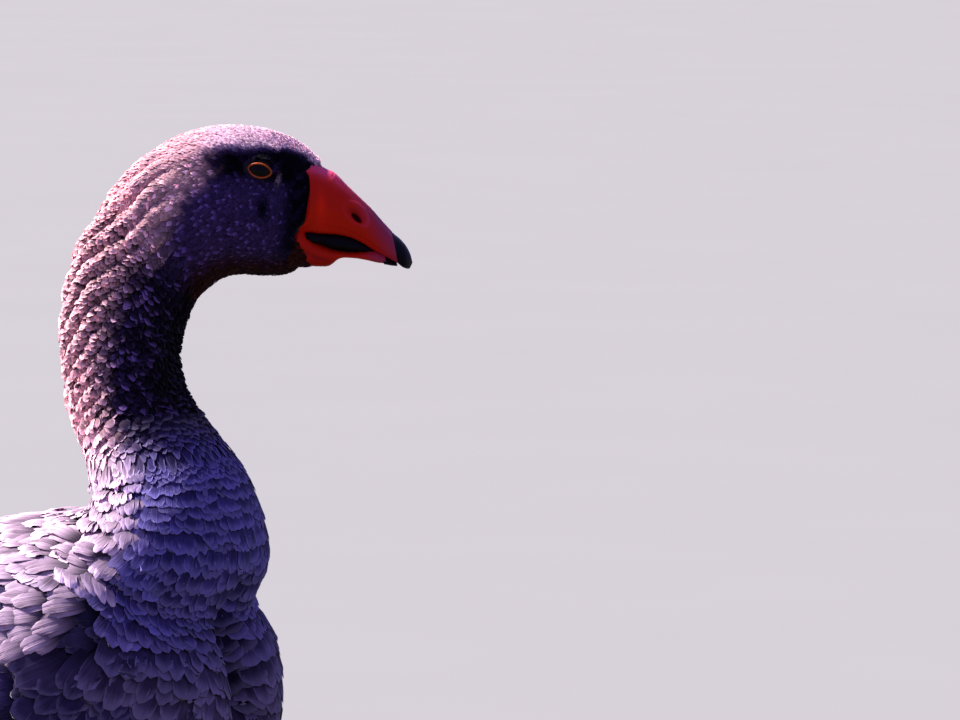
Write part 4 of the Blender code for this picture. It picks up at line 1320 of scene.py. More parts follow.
class GOOSE_OT_thigh_coat(Piece, bpy.types.Operator):
    """Soft feathers over each drumstick, down to the hock."""

    bl_idname = "goose.thigh_coat"
    bl_label = "Thigh coat"

    def make(self, scene):
        plumage, finish = scene.goose_plumage, feather_finish("thigh_feather", scene.goose_plumage)
        form = Form(5, 6, round_tip=0.3, taper=0.15, dome=0.07, fringe=0.10)
        for side, sign in SIDES:
            rng, sheet = np.random.default_rng(53 + sign), thigh_sheet(sign)
            roots = columns_of_roots(sheet, 0.25, 0.985, 15, lambda share: (9.5 - 6.0 * share) * MM, rng)
            size = (17 - 10 * roots.along) * roots.draw(0.8, 1.3) * MM
            wide = roots.apart(1.5, 1.9)
            rise = (5.6 - 3.4 * roots.along) * roots.draw(0.6, 1.15) * MM
            tones = np.array(plumage.belly[:]) * roots.draw(0.55, 1.05)[:, None]
            turn = roots.tilt(0.1)
            coat(f"thigh_coat_{side}", roots, form, finish, tones, size, wide, 0.2 * MM, rise, turn, strips=2)


# ---------------------------------------------------------------- wings and tail

# Tracts of the folded wing. Roots and tips are shares of the wing in a side view: 0..1 from front to back,
# then 0..1 from its top edge to its foot. Each row: first and last root, first and last tip, how many,
# width and lift.
WING_BLADES = (
    ("secondary", (0.50, 0.98), (0.56, 0.34), (0.80, 1.00), (0.97, 0.62), 11, 24, (0.5, 3.4)),
    ("tertial", (0.44, 0.50), (0.52, 0.20), (0.93, 0.78), (1.04, 0.30), 6, 34, (2.0, 5.6)),
)
# Rows of coverts: first and last place along the wing, millimetres from row to row, length and width.
COVERT_ROWS = ((0.015, 0.30, 8.5, 15.5, 12), (0.26, 0.44, 12, 25, 17), (0.41, 0.50, 16, 44, 21))
SCAPULAR_COUNT = 7
# The wing's tip, in millimetres in the body's own frame: a place on its left blade, half its width, its lean.
PRIMARIES = (
    ((-180, 74, 247), 20.0, 26),
    ((-207, 70, 252), 18.5, 33),
    ((-228, 61, 254), 18.0, 42),
    ((-255, 48, 255), 15.5, 56),
    ((-283, 33, 257), 11.5, 70),
    ((-306, 21, 257.5), 7.5, 80),
    ((-322, 13, 257.5), 3.0, 85),
)
PRIMARY_COUNT, TAIL_COUNT = 7, 16
TAIL_ROOT = -245  # where the tail feathers start, in millimetres in the body's own frame


def body_place(points, sign=1):
    """Metres from millimetres in the body's own frame, on the left side or mirrored to the right."""
    return points * np.array([1, sign, 1]) * MM + np.array([LOCAL_X, 0, 0])


def wing_view(l, a):
    """Metres in the side view at shares of the wing."""
    local = WING_TOP[0, 0] - l * WING_SPAN
    top, foot = wing_edges(local)
    return LOCAL_X + local * MM, (top + (foot - top) * a) * MM


def lines_on_wing(sheet, sign, roots, tips, rows):
    """Shaft lines on the skin between places given in shares of the wing, straight in the side view; their
    normals; and the sheet's shares at their roots."""
    share = np.linspace(0, 1, rows)[None, :]
    l, a = (roots[k][:, None] * (1 - share) + tips[k][:, None] * share for k in range(2))
    along, across = sheet.find(*wing_view(l, a), share_of(place("crop_high")), 0.995)
    got = sheet.read(along, across if sign > 0 else 1 - across).astype(float)
    return got[..., :3], unit(got[..., 3:]), (along[:, 0], across[:, 0])


def parted(lines, normals, wide, strips, rng):
    """Each feather's line taken apart into lines spread over its width, the outer ones shorter."""
    count, rows = lines.shape[:2]
    off = strip_places(count, strips, 0.15, rng)
    share = np.linspace(0, 1, rows)
    side_way = unit(np.cross(np.gradient(lines, axis=1), normals))
    spread = (0.5 + 0.5 * fade(share, 0.0, 0.45)) * (wide / 2 * (1 - 0.7 / strips))[:, None]
    lines = lines[:, None] + side_way[:, None] * (off[:, :, None] * spread[:, None])[..., None]
    reach = 1 - 0.3 * np.abs(off) ** ROUNDNESS + rng.uniform(-0.06, 0.0, off.shape)
    at = share * reach[..., None] * (rows - 1)
    low = np.minimum(at.astype(int), rows - 2)[..., None]
    part = at[..., None] - low
    cut = np.take_along_axis(lines, low, 2) * (1 - part) + np.take_along_axis(lines, low + 1, 2) * part
    return cut.reshape(-1, rows, 3), np.repeat(normals, strips, 0), off.ravel()


def blades(name, shafts, form, finish, tone, wide, sink, rise, seed, stands_for=(), strips=1):
    """One piece of feathers whose shafts follow given lines: shafts is lines, normals, roots' shares."""
    rng = np.random.default_rng(seed)
    lines, normals, shares = shafts
    if strips > 1:
        draw = rng.uniform(0.85, 1.1, (len(lines), 1))
        tone = np.repeat(np.broadcast_to(tone, (len(lines), 3)) * draw, strips, axis=0)
        lines, normals, off = parted(lines, normals, wide, strips, rng)
        wide = np.repeat(wide, strips) / strips * STRIP_FILL
        rise = np.repeat(rise, strips) * (1 - 0.45 * off**2)
        shares = [np.repeat(v, strips) for v in shares]
    points = lay_along(lines, normals, form, wide, sink, rise, rng)
    count, margin = len(lines), 0.01
    luck = rng.random(count)
    tones = np.broadcast_to(tone, (count, 3)) * rng.uniform(0.88, 1.1, (count, 1))
    shares = [v * 0.98 + margin for v in shares]
    return vanes(name, points, form, finish, tones, luck, shares, crease=60, stands_for=stands_for)


def spread_shares(count, margin):
    """Places on the bake map of feathers that don't grow on the skin: a row across it."""
    return np.linspace(margin, 1 - margin, count), np.full(count, 0.5)


def gathered(rows):
    """Rows of feathers, each given as roots, tips and widths, joined into one of each."""
    return [np.concatenate(parts, -1) for parts in zip(*rows)]


class GOOSE_OT_wing_feathers(Piece, bpy.types.Operator):
    """The folded wings: coverts in rows, secondaries, tertials, scapulars and the crossed tips."""

    bl_idname = "goose.wing_feathers"
    bl_label = "Wing feathers"

    def make(self, scene):
        plumage = scene.goose_plumage
        covert, flight = feather_finish("covert", plumage), feather_finish("flight_feather", plumage)
        for side, sign in SIDES:
            self.long_feathers(plumage, side, sign, flight)
            self.coverts(plumage, side, sign, covert)
            self.scapulars(plumage, side, sign, covert)
            self.tips(plumage, side, sign, flight)

    @staticmethod
    def long_feathers(plumage, side, sign, finish):
        form = Form(9, 22, round_tip=0.07, taper=0.25, dome=0.03, fringe=0.01)
        for name, root_a, root_b, tip_a, tip_b, count, wide, (sink, rise) in WING_BLADES:
            share = np.linspace(0, 1, count)
            roots, tips = (
                [first[k] + (last[k] - first[k]) * share for k in range(2)]
                for first, last in ((root_a, root_b), (tip_a, tip_b))
            )
            shafts = lines_on_wing(skin_sheet(plumage), sign, roots, tips, form.along)
            high = (sink + (rise - sink) * share) * MM
            tone = mix(np.array(plumage.flight[:]), np.array(plumage.wing[:]), share * 0.6)
            blades(f"{name}_{side}", shafts, form, finish, tone, wide * MM, high * 0.5, high + 1.2 * MM, 61)

    @staticmethod
    def coverts(plumage, side, sign, finish):
        form = Form(5, 7, round_tip=0.2, taper=0.05, dome=0.07, fringe=0.08, curl=-0.05, gain=0.65)
        rng, rows = np.random.default_rng(67 + sign), []
        for first, last, apart, size, wide in COVERT_ROWS:
            for k, l in enumerate(np.arange(first, last, apart / WING_SPAN)):
                tall = abs(wing_view(l, 0.0)[1] - wing_view(l, 1.0)[1]) / MM
                count = max(int(tall / (wide * 0.62)), 3)
                a = (np.arange(count) + 0.25 + 0.5 * (k % 2)) / count + rng.normal(0, 0.012, count)
                ls = l + rng.normal(0, 0.004, count) + 0.03 * (a - 0.5)
                long = size / WING_SPAN * rng.uniform(0.92, 1.08, count)
                tips = np.stack([ls + long, a + 0.03 * (0.5 - a)])
                rows.append((np.stack([ls, a]), tips, np.full(count, wide) * rng.uniform(0.9, 1.1, count)))
        roots, tips, widths = gathered(rows)
        shafts = lines_on_wing(skin_sheet(plumage), sign, roots, tips, form.along)
        along, across = shafts[2]
        rise = (3.6 + 2.6 * fade(roots[0], 0.02, 0.14)) * MM * rng.uniform(0.9, 1.05, len(widths))
        tone = plumage_tone(plumage, along_of(along), across * TURN)
        tone = mix(tone, np.array(plumage.wing[:]), fade(roots[0], 0.0, 0.2) * 0.75)
        # Each covert differs at random; towards the wing's foot they are darkened, painted shade.
        tone = tone * rng.uniform(0.4, 1.0, (len(widths), 1)) * (1 - 0.4 * fade(roots[1], 0.5, 0.8))[:, None]
        tone = mix(tone, np.array(plumage.back[:]), 0.45 * (rng.random(len(widths)) > 0.9))
        blades(f"covert_{side}", shafts, form, finish, tone, widths * MM, 1.0 * MM, rise, 71, strips=3)

    @staticmethod
    def scapulars(plumage, side, sign, finish):
        form = Form(5, 8, round_tip=0.24, taper=0.0, dome=0.10, fringe=0.09, curl=-0.08, gain=0.55)
        rng, rows, count = np.random.default_rng(73 + sign), [], SCAPULAR_COUNT
        l = 0.06
        while l < 0.66:
            size, wide = 15 + 44 * l, 10.5 + 16 * l
            a = np.linspace(-0.12, 0.30 - 0.05 * l, count) + (0.05 if len(rows) % 2 else 0.0)
            ls = l + rng.normal(0, 0.006, count) + 0.04 * (a - 0.1)
            tip_l = ls + size / WING_SPAN * rng.uniform(0.9, 1.1, count)
            tips = np.stack([tip_l, a + 0.06 + rng.normal(0, 0.02, count)])
            rows.append((np.stack([ls, a]), tips, np.full(count, wide) * rng.uniform(0.9, 1.1, count)))
            l += (8 + 11 * l) / WING_SPAN
        roots, tips, widths = gathered(rows)
        shafts = lines_on_wing(skin_sheet(plumage), sign, roots, tips, form.along)
        rise = (6.0 + 3.0 * rng.random(len(widths))) * MM
        # The scapulars take the pale back colour, which is partly painted light.
        tone = mix(np.array(plumage.back[:]), np.array(plumage.wing[:]), fade(roots[0], 0.1, 0.5) * 0.35)
        blades(f"scapular_{side}", shafts, form, finish, tone, widths * MM, 1.6 * MM, rise, 79, strips=4)

    @staticmethod
    def tips(plumage, side, sign, finish):
        """The wing's tip: its feathers lie side by side along a blade that leans over the rump."""
        form = Form(7, 26, round_tip=0.10, taper=0.45, dome=0.03, fringe=0.0, base=0.7)
        places = np.array([p[0] for p in PRIMARIES], float)
        knots = run_length(places)
        order = np.linspace(0, 1, PRIMARY_COUNT)[:, None]
        share = np.linspace(0, 1, form.along)[None, :]
        at = share * knots[-1] * (0.60 + 0.40 * order)
        centre = np.stack([smooth_curve(knots, places[:, k], at) for k in range(3)], -1)
        half, lean = (smooth_curve(knots, [p[k] for p in PRIMARIES], at) for k in (1, 2))
        lean = np.radians(lean)
        across = np.stack([0 * lean, -np.sin(lean), np.cos(lean)], -1)
        normal = np.stack([0 * lean, np.cos(lean), np.sin(lean)], -1)
        off = (0.75 - 1.5 * order) * (1 - share * 0.6)
        lift = (2.6 - 0.21 * PRIMARY_COUNT * order)[..., None] * 0.6
        lines = body_place(centre + across * (half * off)[..., None] + normal * lift, sign)
        shafts = lines, normal * np.array([1, sign, 1]), spread_shares(PRIMARY_COUNT, 0.1)
        tone, node_name = np.array(plumage.flight[:]) * 0.75, f"primaries_{side}"
        blades(f"primary_{side}", shafts, form, finish, tone, 13 * MM, 0, 0.6 * MM, 83, (node_name,))


class GOOSE_OT_tail_feathers(Piece, bpy.types.Operator):
    """The tail: a low fan of broad feathers with pale ends, the middle ones on top."""

    bl_idname = "goose.tail_feathers"
    bl_label = "Tail feathers"

    def make(self, scene):
        plumage, finish = scene.goose_plumage, feather_finish("tail_feather", scene.goose_plumage)
        form = Form(9, 20, round_tip=0.10, taper=0.05, dome=0.035, fringe=0.012, base=0.55)
        order = np.linspace(-1, 1, TAIL_COUNT)[:, None]
        share = np.linspace(0, 1, form.along)[None, :]
        end, half = 105 + SECTIONS[-1][1][0], SECTIONS[-1][3] - 7
        x = TAIL_ROOT + (end + TAIL_BOW * order**2 - TAIL_ROOT + 1) * share
        y = order * (16 + (half - 16) * share**0.9)
        z = 247.5 + 2.2 * share - 3.4 * np.abs(order) * (1 - 0.5 * share) - 1.5 * share * order**2
        tilt = 0.12 * order + 0 * share
        normals = np.stack([0 * tilt, np.sin(tilt), np.cos(tilt)], -1)
        shafts = body_place(np.stack([x, y, z], -1)), normals, spread_shares(TAIL_COUNT, 0.05)
        tone = np.array(plumage.flight[:])
        blades("tail_feathers", shafts, form, finish, tone, 17 * MM, 0, 0.5 * MM, 89, ("tail",))


# ---------------------------------------------------------------- head: eyes and bill


def shell(grid, fields=None):
    """Points, faces and fields of a closed tube given as a grid of rings, in the order that faces it out."""
    p = (grid - grid.mean((0, 1))).reshape(-1, 3)[grid_quads(*grid.shape[:2])]
    volume = np.einsum("ij,ij->i", p[:, 0], np.cross(p[:, 1], p[:, 2]) + np.cross(p[:, 2], p[:, 3])).sum()
    way = -1 if volume < 0 else 1
    fields = {key: np.broadcast_to(value, grid.shape[:2]) for key, value in (fields or {}).items()}
    fields = {key: value[:, ::way].ravel() for key, value in fields.items()}
    return grid[:, ::way].reshape(-1, 3), tube_faces(*grid.shape[:2]), fields


def build_shells(name, shells, finish, slot, stands_for, crease=None):
    """One piece from several closed shells, which stands for one node."""
    kinds, start = {}, 0
    for points, own, _ in shells:
        for f in own:
            kinds.setdefault(f.shape[1], []).append(f + start)
        start += len(points)
    fields = {key: np.concatenate([s[2][key] for s in shells]) for key in shells[0][2]}
    points = np.concatenate([s[0] for s in shells])
    faces = [np.concatenate(found) for found in kinds.values()]
    return build(name, points, faces, finish, None, fields, crease, slot, (stands_for,))


def pushed(grid, out):
    """A closed-round grid moved along its outward normals."""
    normal = Sheet(grid).normal
    sign = np.sign(((grid - grid.mean(1, keepdims=True)) * normal).sum(-1).mean())
    return grid + normal * sign * out[..., None]


class GOOSE_OT_eyes(Piece, bpy.types.Operator):
    """Wet eyeballs with a domed front, each in a bare wrinkled ring."""

    bl_idname = "goose.eyes"
    bl_label = "Eyes"

    def make(self, scene):
        bill = scene.goose_bill
        wet, dark_lid = self.ball_finish(bill), [v * 0.55 for v in bill.lid]
        bare = skin_tinted("eye_ring", bill.lid, dark_lid, 0.5, 1500.0, 0.1 * MM, Specular_IOR_Level=0.4)
        # Rings of the ball by their angle from its front: close together over the iris, wider behind.
        polar = np.concatenate([np.linspace(0.015, 1.2, 40), np.linspace(1.25, math.pi - 0.02, 24)])
        polar = polar[:, None, None]
        turn = round_angles(64)[None, :, None]
        radius = EYE_RADIUS + 0.28 * MM * np.exp(-((polar / 0.42) ** 4))
        for side, sign in SIDES:
            out = HEAD_LEFT * sign
            way = out * np.cos(polar) + (HEAD_AHEAD * np.cos(turn) + UP * np.sin(turn)) * np.sin(polar)
            ball = shell(EYE[side] + way * radius, {"gaze": polar[..., 0]})
            build_shells(f"eyeball_{side}", [ball], wet, "eye", f"eye_{side}")
            self.ring(side, out, bill, bare)

    @staticmethod
    def ball_finish(bill):
        """gaze is the angle from the front: a pupil, a streaked iris round it, and darkness past the iris."""
        wet = dict(Coat_Weight=0.12, Coat_Roughness=0.03, Specular_IOR_Level=0.12)
        made, tree, shader = new_finish("wet_eye", 0.15, **wet)
        gaze = field(tree, "gaze")
        plain = wire(tree, "RGB")
        plain.socket.default_value = opaque(bill.iris)
        iris = scaled(plain, noise(own_place(tree), 1400.0, 3.0) + 0.5)
        pupil = tint(ramp(gaze, 0.40, 0.46), (0.002, 0.002, 0.003, 1), iris)
        tint(ramp(gaze, 0.60, 0.72), pupil, (0.006, 0.004, 0.006, 1)).into(shader.inputs["Base Color"])
        return made

    @staticmethod
    def ring(side, out, bill, finish):
        """A rounded, wrinkled strip round the opening, whose middle follows the almond on the eyeball."""
        turn, round_it = round_angles(144)[:, None], round_angles(14)[None, :]
        long, high = bill.opening / 2 + 0.6 * MM, ALMOND_HIGH * 0.93 + 0.4 * MM
        u = long * np.cos(turn)
        w = high * np.sign(np.sin(turn)) * np.abs(np.sin(turn)) ** 1.25
        x = u * math.cos(ALMOND_TILT) - w * math.sin(ALMOND_TILT)
        z = u * math.sin(ALMOND_TILT) + w * math.cos(ALMOND_TILT)
        depth = np.sqrt(np.maximum((EYE_RADIUS + 0.32 * MM) ** 2 - x * x - z * z, 0))
        middle = EYE[side] + (HEAD_AHEAD * x[..., None] + UP * z[..., None] + out * depth[..., None])
        up = unit(middle - EYE[side])
        across = np.cross(unit(np.roll(middle, -1, 0) - np.roll(middle, 1, 0)), up)
        wrinkle = 1 + 0.10 * np.sin(turn * 31) + 0.06 * np.sin(turn * 13 + 1)
        wide = 0.46 * MM * wrinkle * (1 + 0.25 * np.abs(np.cos(turn)) ** 6)
        high = 0.42 * MM * wrinkle
        grid = middle + across * (wide * np.cos(round_it))[..., None]
        grid = grid + up * (high * np.sin(round_it))[..., None]
        rows, columns = grid.shape[:2]
        quads = np.concatenate([grid_quads(rows, columns), ring_join(rows, columns)])
        if np.einsum("ijk,ijk->", Sheet(grid).normal, grid - middle) < 0:
            quads = quads[:, ::-1]
        shaded = np.broadcast_to(0.5 - 0.5 * np.cos(round_it), (rows, columns)).ravel() * 0.6
        fields = {"tint": shaded, "dusk": np.zeros(rows * columns)}
        build(f"eye_ring_{side}", grid.reshape(-1, 3), [quads], finish, fields=fields, slot="bill")


def ring_join(rows, columns):
    """Faces that close a grid's last row onto its first."""
    j = np.arange(columns)
    after, last = (j + 1) % columns, (rows - 1) * columns
    return np.stack([last + j, last + after, after, j], -1)


# The bill's pieces, in millimetres in the head's frame, base to tip: top point, foot point, half width.
UPPER_BILL = (
    ((85.5, 529.9), (80.9, 497.3), 14.2), ((94.0, 525.2), (86.9, 496.4), 12.9),
    ((100.1, 519.2), (94.5, 496.1), 12.1), ((106.2, 513.3), (102.0, 494.7), 11.5),
    ((111.9, 507.8), (108.1, 491.9), 11.0), ((117.0, 502.0), (113.7, 488.5), 10.6),
    ((121.8, 496.7), (124.8, 482.5), 10.0),
)
UPPER_NAIL = (
    ((121.6, 496.5), (124.7, 482.2), 9.9), ((125.9, 493.0), (126.4, 480.6), 8.6),
    ((128.9, 489.2), (128.1, 479.8), 6.6), ((130.6, 485.4), (129.2, 479.5), 4.0),
    ((131.3, 482.3), (130.0, 479.6), 1.6),
)
LOWER_BILL = (
    ((76.0, 500.6), (74.4, 481.0), 12.4), ((78.2, 501.5), (77.0, 481.4), 13.4),
    ((80.4, 499.6), (79.4, 481.4), 13.0), ((82.8, 496.8), (83.0, 481.2), 12.3),
    ((86.9, 492.8), (87.0, 480.9), 11.3), ((91.6, 490.3), (92.8, 481.4), 10.8),
    ((94.9, 489.0), (96.3, 484.1), 10.6), ((102.9, 487.9), (102.9, 484.9), 10.2),
    ((109.5, 488.4), (110.0, 483.8), 9.8), ((114.2, 488.4), (115.1, 482.6), 9.4),
    ((118.4, 486.8), (119.0, 482.2), 8.5),
)
LOWER_NAIL = (
    ((117.4, 486.6), (118.0, 481.9), 8.6), ((120.6, 485.2), (121.3, 481.2), 7.8),
    ((123.4, 483.4), (124.2, 480.9), 6.4),
)
COMB = (
    ((78.0, 497.0), (78.0, 495.0), 6.0), ((81.5, 496.9), (81.5, 493.6), 10.4),
    ((85.6, 496.6), (85.6, 491.9), 11.4), ((89.0, 495.9), (89.0, 491.6), 10.7),
    ((94.9, 495.6), (94.9, 489.5), 10.3), ((99.6, 494.9), (99.6, 488.6), 9.9),
    ((104.3, 493.4), (104.3, 488.1), 9.5), ((109.0, 491.0), (109.0, 488.1), 8.6),
    ((113.0, 489.0), (113.0, 487.4), 6.0), ((119.0, 486.2), (119.0, 484.0), 5.0),
    ((123.6, 483.6), (123.6, 481.8), 4.0),
)
NOSTRIL = (105.6, 504.2)
TOOTH = 1.15  # millimetres from one tooth of the comb to the next
FULL_EDGE = 83.6  # the furthest that the feathers reach at the bill's sides


def bill_grid(sections, arch, rows, columns):
    """(rows, columns, 3) in the head's frame, the share of the way forward, and the angle from the top.
    Each ring runs from its foot point to its top point: arch above 0 rounds the top and leaves the foot
    flat, below 0 the other way up."""
    table = np.array([[*top, *foot, half] for top, foot, half in sections], float)
    middle = (table[:, :2] + table[:, 2:4]) / 2
    knots = np.concatenate([[0], np.cumsum(np.hypot(*np.diff(middle, axis=0).T))])
    share = np.linspace(0, 1, rows)
    curves = (smooth_curve(knots, column, share * knots[-1])[:, None] for column in table.T)
    top_x, top_z, foot_x, foot_z, half = curves
    turn = round_angles(columns)[None, :]
    up, side = np.cos(turn), np.sin(turn)
    level = (0.5 + 0.5 * up) ** {1: 1.25, 0: 1.0, -1: 1.4}[arch]
    power = np.where(up < 0, 0.5, 0.7) if arch > 0 else 0.6
    wide = half * np.sign(side) * np.abs(side) ** power * (1 - (0.12 * np.maximum(up, 0) if arch > 0 else 0))
    ahead, height = foot_x + (top_x - foot_x) * level, foot_z + (top_z - foot_z) * level
    return np.stack([ahead, wide + 0 * level, height], -1), share[:, None], turn


def bill_part(name, grid, out, tint_field, dusk, finish, slot, node_name):
    """One closed piece of the bill, pushed out by millimetres; returns its points."""
    points = head_point(pushed(grid, out))
    build_shells(name, [shell(points, {"tint": tint_field, "dusk": dusk})], finish, slot, node_name)
    return points


class GOOSE_OT_bill(Piece, bpy.types.Operator):
    """The bill: its horny skins with nostrils and folds, the hard nails, and the toothed comb between."""

    bl_idname = "goose.bill"
    bl_label = "Bill"

    def make(self, scene):
        bill = scene.goose_bill
        waxy = {"Specular_IOR_Level": 0.12, "Coat_Weight": 0.05}
        smooth = dict(waxy, Coat_Roughness=0.25)
        red = skin_tinted("bill_skin", bill.red, bill.rose, 0.45, 420.0, 0.12 * MM, **smooth)
        # A lighter blue-black for the nails' base: a painted sheen.
        pale = (0.012, 0.012, 0.03)
        horn = skin_tinted("bill_nail", bill.nail, pale, 0.3, 700.0, 0.03 * MM, **waxy, Coat_Roughness=0.2)
        dark = [v * 0.5 for v in bill.nail]
        teeth = skin_tinted("bill_comb_horn", dark, bill.nail, 0.6, 700.0, 0.05 * MM, Specular_IOR_Level=0.15)
        self.upper(bill, red)
        self.chin(scene.goose_plumage, Sheet(self.lower(red)[::-1]))
        self.nails(horn)
        self.comb(teeth)

    @staticmethod
    def upper(bill, finish):
        """A nostril's slit sunk in an oval hollow with a raised rim on each side, a lip along the cutting
        edge with a groove over it, soft creases at the base and a low ridge along the top. The slit and the
        hollow are darkened with painted shade; the top ridge, the nostril's rim and a patch near the base are
        brightened with painted highlights, and the top and the rim are tinted rose as painted highlight too."""
        grid, share, turn = bill_grid(UPPER_BILL, 1, 150, 144)
        edge = np.minimum(bill_edge(grid[..., 2]), FULL_EDGE)
        grid[..., 0] += (edge - grid[:1, :, 0]) * fade(share, 0.2, 0.0)
        ahead, left, z = grid[..., 0], grid[..., 1], grid[..., 2]
        up, across = np.cos(turn), np.abs(np.sin(turn))
        flank = fade(across, 0.25, 0.6) * (np.abs(left) > 2)
        # The nostril slopes down and forward: long is along its slit, short across it.
        dx, dz = ahead - NOSTRIL[0], z - NOSTRIL[1]
        long, short = (dx - dz) / math.sqrt(2), (dx + dz) / math.sqrt(2)
        slit = np.hypot(long / (0.6 * bill.nostril / MM), short / 1.3)
        oval = np.hypot((long + 1.6) / 6.6, (short - 0.7) / 3.5)
        rim = flank * bell(oval, 1.06, 0.17) * (0.4 + 0.6 * fade(short + 0.3 * long, -1.5, 1.5))
        out = flank * (-1.9 * fade(slit, 1.15, 0.7) - 0.8 * fade(oval, 1.0, 0.55)) + 0.6 * rim
        foot = (1 + up) / 2
        groove = fade(share, 0.02, 0.2) * fade(share, 1, 0.7)
        out = out + 0.38 * bell(foot, 0.06, 0.055) - 0.30 * bell(foot, 0.20, 0.05) * groove
        out = out + 0.25 * fade(share, 0.09, 0.02) - 0.22 * bell(share, 0.115, 0.03)
        out = out + 0.10 * noise_wave(ahead * 1.1, z * 1.3) * fade(share, 0.5, 0.1)
        out = out + 0.05 * noise_wave(ahead * 2.7 + left, z * 2.1)
        out = out - 0.22 * bell(across, 0.42, 0.12) * (up > 0)
        # Along the top ridge the bill is brightened and tinted rose: a painted highlight.
        ridge = bell(up, 1, 0.2) * fade(share, 0.55, 0.05)
        # Rose towards the nail is the bill's own colour; the rose on the top and on the nostril's rim is
        # painted highlight.
        rosy = np.clip(fade(ahead + 0.5 * (z - 490), 112, 128) + 0.22 * bell(up, 1, 0.25) + 0.25 * rim, 0, 1)
        rosy = np.clip(rosy + 0.7 * ridge, 0, 1)
        # Painted highlights: the top ridge, a patch near the base and the nostril's rim.
        painted_highlight = 1.7 * ridge + 0.4 * flank * bell(ahead, 88.8, 2.0) * bell(z, 510, 8) + 0.25 * rim
        # Painted shade in the nostril's slit and hollow, less the painted highlights.
        dusk = flank * (fade(slit, 1.1, 0.8) * 0.95 + 0.35 * fade(oval, 0.8, 0.3)) - painted_highlight
        bill_part("bill_upper_skin", grid, out, rosy, np.minimum(dusk, 0.95), finish, "bill", "bill_upper")

    @staticmethod
    def lower(finish):
        """The thin red band of the lower bill; its base hangs as a fold with a crease above it. The crease
        and the low part of the base are darkened with painted shade.
        """
        grid, share, turn = bill_grid(LOWER_BILL, -1, 110, 96)
        ahead, foot = grid[..., 0], (1 + np.cos(turn)) / 2
        base = fade(share, 0.45, 0.25)
        out = 0.35 * bell(foot, 0.25, 0.16) * fade(share, 0.42, 0.2) - 0.5 * bell(foot, 0.52, 0.09) * base
        out = out + 0.07 * noise_wave(ahead * 1.6, foot * 9)
        rosy = fade(ahead, 106, 117) * 0.7
        # Painted shade in the crease over the fold, and on the low part near the base.
        dusk = 0.35 * bell(foot, 0.52, 0.08) * base
        dusk = dusk + 0.35 * fade(ahead, 97, 92) * fade(grid[..., 2], 487, 483.5)
        return bill_part("bill_lower_skin", grid, out, rosy, dusk, finish, "bill", "bill_lower")

    @staticmethod
    def chin(plumage, sheet):
        """A wedge of small feathers under the lower bill's base, pointing back to the throat."""
        rng = np.random.default_rng(97)
        roots = columns_of_roots(sheet, 0.4, 0.995, 60, lambda share: (1.1 + 0 * share) * MM, rng)
        at = roots.points()
        line = 492.5 - 2.0 * (head_ahead(at) - 78.6)
        roots = roots.where(at[:, 2] / MM < line + roots.tilt(0.35))
        size, wide = roots.draw(2.2, 3.0) * MM, roots.draw(1.0, 1.4) * MM
        tones = np.array(plumage.chin[:]) * roots.draw(0.6, 1.5)[:, None]
        finish, turn = bpy.data.materials["head_feather"], roots.tilt(0.15)
        coat("chin_coat", roots, SCALY, finish, tones, size, wide, 0.1 * MM, 0.8 * MM, turn)

    @staticmethod
    def nails(finish):
        """The hard tips: plain tapering caps with growth lines across them, darkened all over, with a
        lighter blue-black towards their base as a painted sheen.
        """
        nails = (
            ("nail_upper", UPPER_NAIL, 1, "bill_nail"),
            ("nail_lower", LOWER_NAIL, -1, "bill_nail_lower"),
        )
        for name, sections, arch, node_name in nails:
            grid, share, turn = bill_grid(sections, arch, 60, 72)
            out = 0.015 * np.sin(share * 40) + 0.12 * bell(share, 0.06, 0.05) + 0 * turn
            bill_part(name, grid, out, 0.55 * fade(share, 0.3, 0.0), 0.55, finish, "horn", node_name)

    @staticmethod
    def comb(finish):
        """The dark comb that shows between the halves of the bill: upright teeth along each side, their
        crests tinted lighter than the gaps as a painted sheen.
        """
        grid, _, turn = bill_grid(COMB, 0, 200, 48)
        tooth = np.abs(np.sin(np.pi * grid[..., 0] / TOOTH))
        out = 0.26 * tooth**0.6 * np.abs(np.sin(turn)) - 0.3 + 1.0 * np.abs(np.cos(turn))
        bill_part("bill_teeth", grid, out, 0.25 * tooth, 0.0, finish, "horn", "bill_comb")


# ---------------------------------------------------------------- legs

# The left leg, in millimetres in the body's own frame.
ANKLE = np.array([-32.0, 52, 15])
SHANK_RADIUS = (  # shares of the way down, and its radius there
    (0, 0.06, 0.16, 0.32, 0.7, 0.92, 1.0),
    (6.6, 7.6, 7.0, 5.3, 5.3, 6.2, 6.6),
)
TOES = (  # name, degrees outwards, length, and the knuckles' shares of it
    ("inner", -25, 66, (0.5, 0.82)),
    ("middle", 3, 86, (0.38, 0.63, 0.84)),
    ("outer", 30, 76, (0.38, 0.63, 0.84)),
)
TOE_RADIUS = (5.8, 3.6)
CLAW_LENGTH, CLAW_RADIUS = 11.2, 2.6
HIND_TOE = (np.array([-36.5, 48.0, 17.0]), np.array([-54.0, 41.5, 7.0]))
HIND_CLAW_LENGTH, HIND_CLAW_RADIUS = 6.6, 2.1
# How high the shank's plates are; how far apart and how high those of the toes are; the hind toe's run.
SHANK_PLATE, TOE_PLATES, HIND_PLATES, HIND_PLATED = 0.55, (3.1, 0.4), (2.4, 0.28), 17
BALL_MIDDLE, BALL_RADII = (-1, 0, 8.3), (8.0, 7.4, 8.2)  # of the ankle's ball, from the foot's root
WEB_COLUMNS, WEB_ROWS = 90, 44


